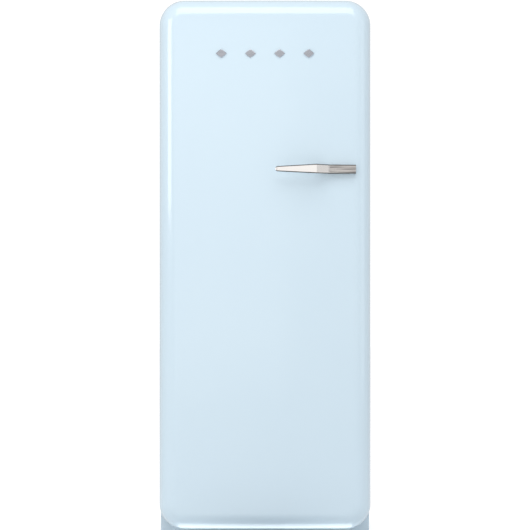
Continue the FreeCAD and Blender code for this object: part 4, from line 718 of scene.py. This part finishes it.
BLUE = ((0.624, 0.754, 0.840), (0.611, 0.742, 0.833))
DEEP_BLUE = ((0.50, 0.62, 0.74), (0.47, 0.59, 0.72))
FINISHES = {
    "body_paint": paint_finish("pastel_enamel", BLUE, smooth=0.16, rough=0.22),
    "bracket_steel": paint_finish("bracket_enamel", DEEP_BLUE, smooth=0.20, rough=0.32),
    "galvanised": zinc_finish(),
    "foam": toned_finish(
        "insulating_foam",
        tones=((0.90, 0.82, 0.58), (0.82, 0.72, 0.46)),
        tone_size=30.0,
        grain=(700.0, 20.0, 0.8, 0.95),
        depth=0.0006,
    ),
    "liner_white": toned_finish(
        "vacuum_formed_white",
        tones=((0.90, 0.91, 0.91), (0.892, 0.903, 0.905)),
        tone_size=2.0,
        grain=(420.0, 3.0, 0.34, 0.37),
        depth=0.000008,
    ),
    "gasket": toned_finish(
        "soft_grey_gasket",
        tones=((0.70, 0.73, 0.75), (0.67, 0.70, 0.72)),
        tone_size=12.0,
        grain=(900.0, 16.0, 0.45, 0.62),
        depth=0.00004,
    ),
    "glass": toned_finish(
        "toughened_glass",
        tones=((0.80, 0.93, 0.90), (0.76, 0.91, 0.88)),
        tone_size=5.0,
        grain=(60.0, 6.0, 0.01, 0.05),
        depth=0.000004,
        transmission_weight=1.0,
        ior=1.5,
    ),
    "clear_plastic": toned_finish(
        "clear_moulding",
        tones=((0.90, 0.95, 0.97), (0.84, 0.92, 0.95)),
        tone_size=6.0,
        grain=(160.0, 9.0, 0.06, 0.16),
        depth=0.00001,
        transmission_weight=0.88,
        ior=1.38,
    ),
    "chrome": toned_finish(
        "polished_chrome",
        tones=((0.86, 0.85, 0.83), (0.80, 0.79, 0.78)),
        tone_size=14.0,
        grain=(700.0, 12.0, 0.05, 0.14),
        depth=0.000006,
        metallic=1.0,
    ),
    "aluminium": drawn_finish(
        "rolled_aluminium",
        tones=((0.80, 0.81, 0.82), (0.66, 0.67, 0.69)),
        size=60.0,
        smooth=0.28,
        rough=0.46,
        depth=0.00004,
    ),
    "black_paint": dusty_finish(
        "black_enamel",
        tones=((0.022, 0.022, 0.026), (0.036, 0.036, 0.040)),
        tone_size=10.0,
        grain=(330.0, 8.0, 0.28, 0.42),
        depth=0.00006,
        dust=0.35,
    ),
    "black_plastic": dusty_finish(
        "black_moulding",
        tones=((0.030, 0.030, 0.034), (0.050, 0.050, 0.054)),
        tone_size=18.0,
        grain=(850.0, 14.0, 0.45, 0.62),
        depth=0.00008,
        dust=0.25,
    ),
    "grey_plastic": toned_finish(
        "grey_moulding",
        tones=((0.42, 0.44, 0.46), (0.35, 0.37, 0.39)),
        tone_size=16.0,
        grain=(850.0, 14.0, 0.4, 0.55),
        depth=0.00006,
    ),
    "rubber": dusty_finish(
        "mounting_rubber",
        tones=((0.025, 0.025, 0.025), (0.045, 0.043, 0.041)),
        tone_size=25.0,
        grain=(650.0, 20.0, 0.7, 0.88),
        depth=0.0001,
        dust=0.3,
    ),
    "copper": toned_finish(
        "drawn_copper",
        tones=((0.72, 0.36, 0.22), (0.46, 0.24, 0.17)),
        tone_size=26.0,
        grain=(500.0, 30.0, 0.25, 0.5),
        depth=0.00002,
        metallic=1.0,
    ),
}


def finish_in(piece, slot):
    """Give a piece the finish of a slot."""
    piece.data.materials.clear()
    piece.data.materials.append(FINISHES[slot])
    return piece


POLISHED = (0.96, 0.925, 0.895)
BRUSHED = ((0.80, 0.76, 0.73), (0.28, 0.265, 0.255))
# painted dark reflection, laid on the handle's bevels and rounded end
PAINTED_DARK_REFLECTION = (0.13, 0.125, 0.12)
GRIP_GLOSS = 0.14
POLISH_FADES = 0.006  # before the foot, the polish passes into brushing
CHAMFER_BAND = 0.25  # how near to half a right angle a bevel faces, where it takes the painted dark reflection
TIP_BAND = (-0.3, -0.6)  # the way that the rounded end faces, along the bar, where it takes the painted dark reflection


def handle_finish():
    """Return the handle's metal: a bright polished grip that passes into a brushed foot, and a painted dark
    reflection on its bevels and rounded end.
    """
    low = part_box("handle_grip")[0]
    material, tree, shader = bare_finish("handle_metal", metallic=1.0)
    foot_starts = low.x + GRIP_LEN + BEND_LEN
    foot = remap(tree, split(tree, object_place(tree))["X"], foot_starts - POLISH_FADES, foot_starts)
    lines = place_effect(tree, LINES, size=30.0, smooth=0.22, rough=0.44)
    brushed = blend(tree, lines.outputs["Share"], *BRUSHED)
    front = blend(tree, foot, POLISHED, brushed)
    way = facing(tree)
    # painted dark reflection: the colour of the bevels and the rounded end is darkened by the way they face
    chamfer = reckon(tree, "COMPARE", reckon(tree, "ABSOLUTE", way["Z"]), math.sqrt(0.5), CHAMFER_BAND)
    tip = remap(tree, way["X"], *TIP_BAND)
    edge = reckon(tree, "MAXIMUM", chamfer, tip)
    tree.links.new(blend(tree, edge, front, PAINTED_DARK_REFLECTION), shader.inputs["Base Color"])
    gloss = blend(tree, foot, GRIP_GLOSS, lines.outputs["Roughness"], kind="FLOAT")
    tree.links.new(gloss, shader.inputs["Roughness"])
    height = reckon(tree, "MULTIPLY", foot, lines.outputs["Height"])
    bump(tree, shader, height, depth=0.00004)
    return material


def stud_finish():
    """Return the studs' satin metal."""
    tones = ((0.56, 0.57, 0.61), (0.44, 0.45, 0.49))
    return drawn_finish("stud_metal", tones, size=160.0, smooth=0.22, rough=0.38, depth=0.00002)


# ---------------------------------------------------------------- pieces in place
DOOR = finish_in(stand_for(door_skin(), "door", "body_paint", "door_skin"), "body_paint")
finish_in(stand_for(door_gasket(), "door", "gasket", "door_gasket"), "gasket")
cast = stand_for(handle(), "door", "chrome", "handle_grip")
cast.data.materials.append(handle_finish())
studs = stand_for(badge_studs(), "door", "chrome", "badge_studs")
studs.data.materials.append(stud_finish())
door_bins()
drawers()
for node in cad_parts.values():
    slot = node.data.materials[0].name.split(".")[0]
    node.data.materials[0] = FINISHES[slot]


# ---------------------------------------------------------------- floor, light and camera
WHITE = (1.0, 1.0, 1.0, 1.0)
COOL = (0.82, 0.91, 1.0)
OPEN_FLOOR = (0.96, 0.97, 0.98)
# painted shade: the floor's colour for light thrown back onto the door, near its foot
SHADED_FLOOR = (0.26, 0.28, 0.31)


def floor_finish():
    """Return the floor's finish: it is seen white, and for light thrown back it is painted darker round the
    door's foot, a painted shade on the door's lower part.
    """
    material = toned_finish(
        "pale_floor",
        tones=((0.94, 0.94, 0.94), (0.92, 0.92, 0.92)),
        tone_size=0.6,
        grain=(30.0, 0.8, 0.7, 0.9),
        depth=0.0001,
        emission_color=WHITE,
    )
    tree = material.node_tree
    shader = tree.nodes["Principled BSDF"]
    seen = tree.nodes.new("ShaderNodeLightPath").outputs["Is Camera Ray"]
    tree.links.new(reckon(tree, "MULTIPLY", seen, FLOOR_GLOW), shader.inputs["Emission Strength"])
    # painted shade: for rays other than the camera's, the floor is darker round the door's foot
    round_door = tree.nodes.new("ShaderNodeMapping")
    round_door.inputs["Location"].default_value = (0.0, -FRONT / SHADE_REACH, 0.0)
    round_door.inputs["Scale"].default_value = (1 / SHADE_REACH, 1 / SHADE_REACH, 1.0)
    tree.links.new(object_place(tree), round_door.inputs["Vector"])
    shade = tree.nodes.new("ShaderNodeTexGradient")
    shade.gradient_type = "SPHERICAL"
    tree.links.new(round_door.outputs["Vector"], shade.inputs["Vector"])
    thrown = blend(tree, shade.outputs["Fac"], OPEN_FLOOR, SHADED_FLOOR)
    plain = shader.inputs["Base Color"].links[0].from_socket
    tree.links.new(blend(tree, seen, thrown, plain), shader.inputs["Base Color"])
    return material


def studio_floor():
    """Make the pale floor, faintly mottled."""
    corners = np.array([(-1, -1, 0), (1, -1, 0), (1, 1, 0), (-1, 1, 0)]) * FLOOR_REACH - (0, 0, HAIR)
    mesh = bpy.data.meshes.new("studio_floor")
    mesh.from_pydata(corners.tolist(), [], [(0, 1, 2, 3)])
    floor = bpy.data.objects.new("studio_floor", mesh)
    bpy.context.scene.collection.objects.link(floor)
    mesh.materials.append(floor_finish())


def softbox(name, place, aim, size, radiance):
    """Hang a soft light that faces a point. Its power is radiance * pi * area."""
    light = bpy.data.lights.new(name, "AREA")
    light.shape = "RECTANGLE"
    light.size, light.size_y = size
    light.energy = radiance * math.pi * light.size * light.size_y
    holder = bpy.data.objects.new(name, light)
    bpy.context.scene.collection.objects.link(holder)
    holder.location = place
    way = Vector(aim) - Vector(place)
    holder.rotation_euler = way.to_track_quat("-Z", "Y").to_euler()
    return holder


def white_surround():
    """Set a white surround, a little brighter where the camera sees it than where it lights the object."""
    world = bpy.data.worlds.new("white_surround")
    bpy.context.scene.world = world
    world.use_nodes = True
    tree = world.node_tree
    surround = tree.nodes["Background"]
    surround.inputs["Color"].default_value = WHITE
    seen = tree.nodes.new("ShaderNodeLightPath").outputs["Is Camera Ray"]
    strength = remap(tree, seen, 0.0, 1.0, SURROUND_LIGHT, SURROUND_SEEN)
    tree.links.new(strength, surround.inputs["Strength"])


def lip_strip():
    """Lay a strip on the floor that lights only the door's lower lip."""
    place = Vector((0.0, FRONT + STRIP_BACK, STRIP_RISE))
    above = place + Vector((0.0, 0.0, 1.0))
    strip = softbox("low_strip", place, above, size=(0.53, 0.06), radiance=1.8)
    strip.visible_camera = False
    lit = bpy.data.collections.new("door_lip")
    lit.objects.link(DOOR)
    strip.light_linking.receiver_collection = lit


def studio_light():
    """Light the door from the left, from above, from far in front, from below its lip and from the right."""
    white_surround()
    softbox("tall_left", (-2.6, -2.4, 1.85), (-0.3, -0.3, 1.3), size=(1.4, 1.7), radiance=2.8)
    softbox("wide_top", (0.0, -2.2, 3.5), (0.0, -0.3, 1.2), size=(3.0, 2.2), radiance=2.1)
    softbox("far_front", (-1.0, -8.0, 1.2), (0.1, -0.37, 1.06), size=(2.6, 2.4), radiance=0.32)
    lip_strip()
    fill = softbox("right_fill", (3.2, -1.6, 1.3), (0.3, -0.3, 0.9), size=(1.6, 2.2), radiance=0.55)
    fill.data.color = COOL


def studio_camera():
    """Set a level camera straight in front of the door."""
    data = bpy.data.cameras.new("front_camera")
    camera = bpy.data.objects.new("front_camera", data)
    bpy.context.scene.collection.objects.link(camera)
    bpy.context.scene.camera = camera
    widest = FRONT + CROWN + ROLL_R
    data.sensor_width = 36.0
    data.lens = data.sensor_width * DOOR_SHARE * CAMERA_AWAY / (2 * HALF)
    camera.location = (0.0, widest - CAMERA_AWAY, DOOR_MID - CAMERA_DROP)
    camera.rotation_euler = (QUARTER, 0.0, 0.0)


studio_floor()
studio_light()
studio_camera()
bpy.context.scene.view_settings.view_transform = "Standard"
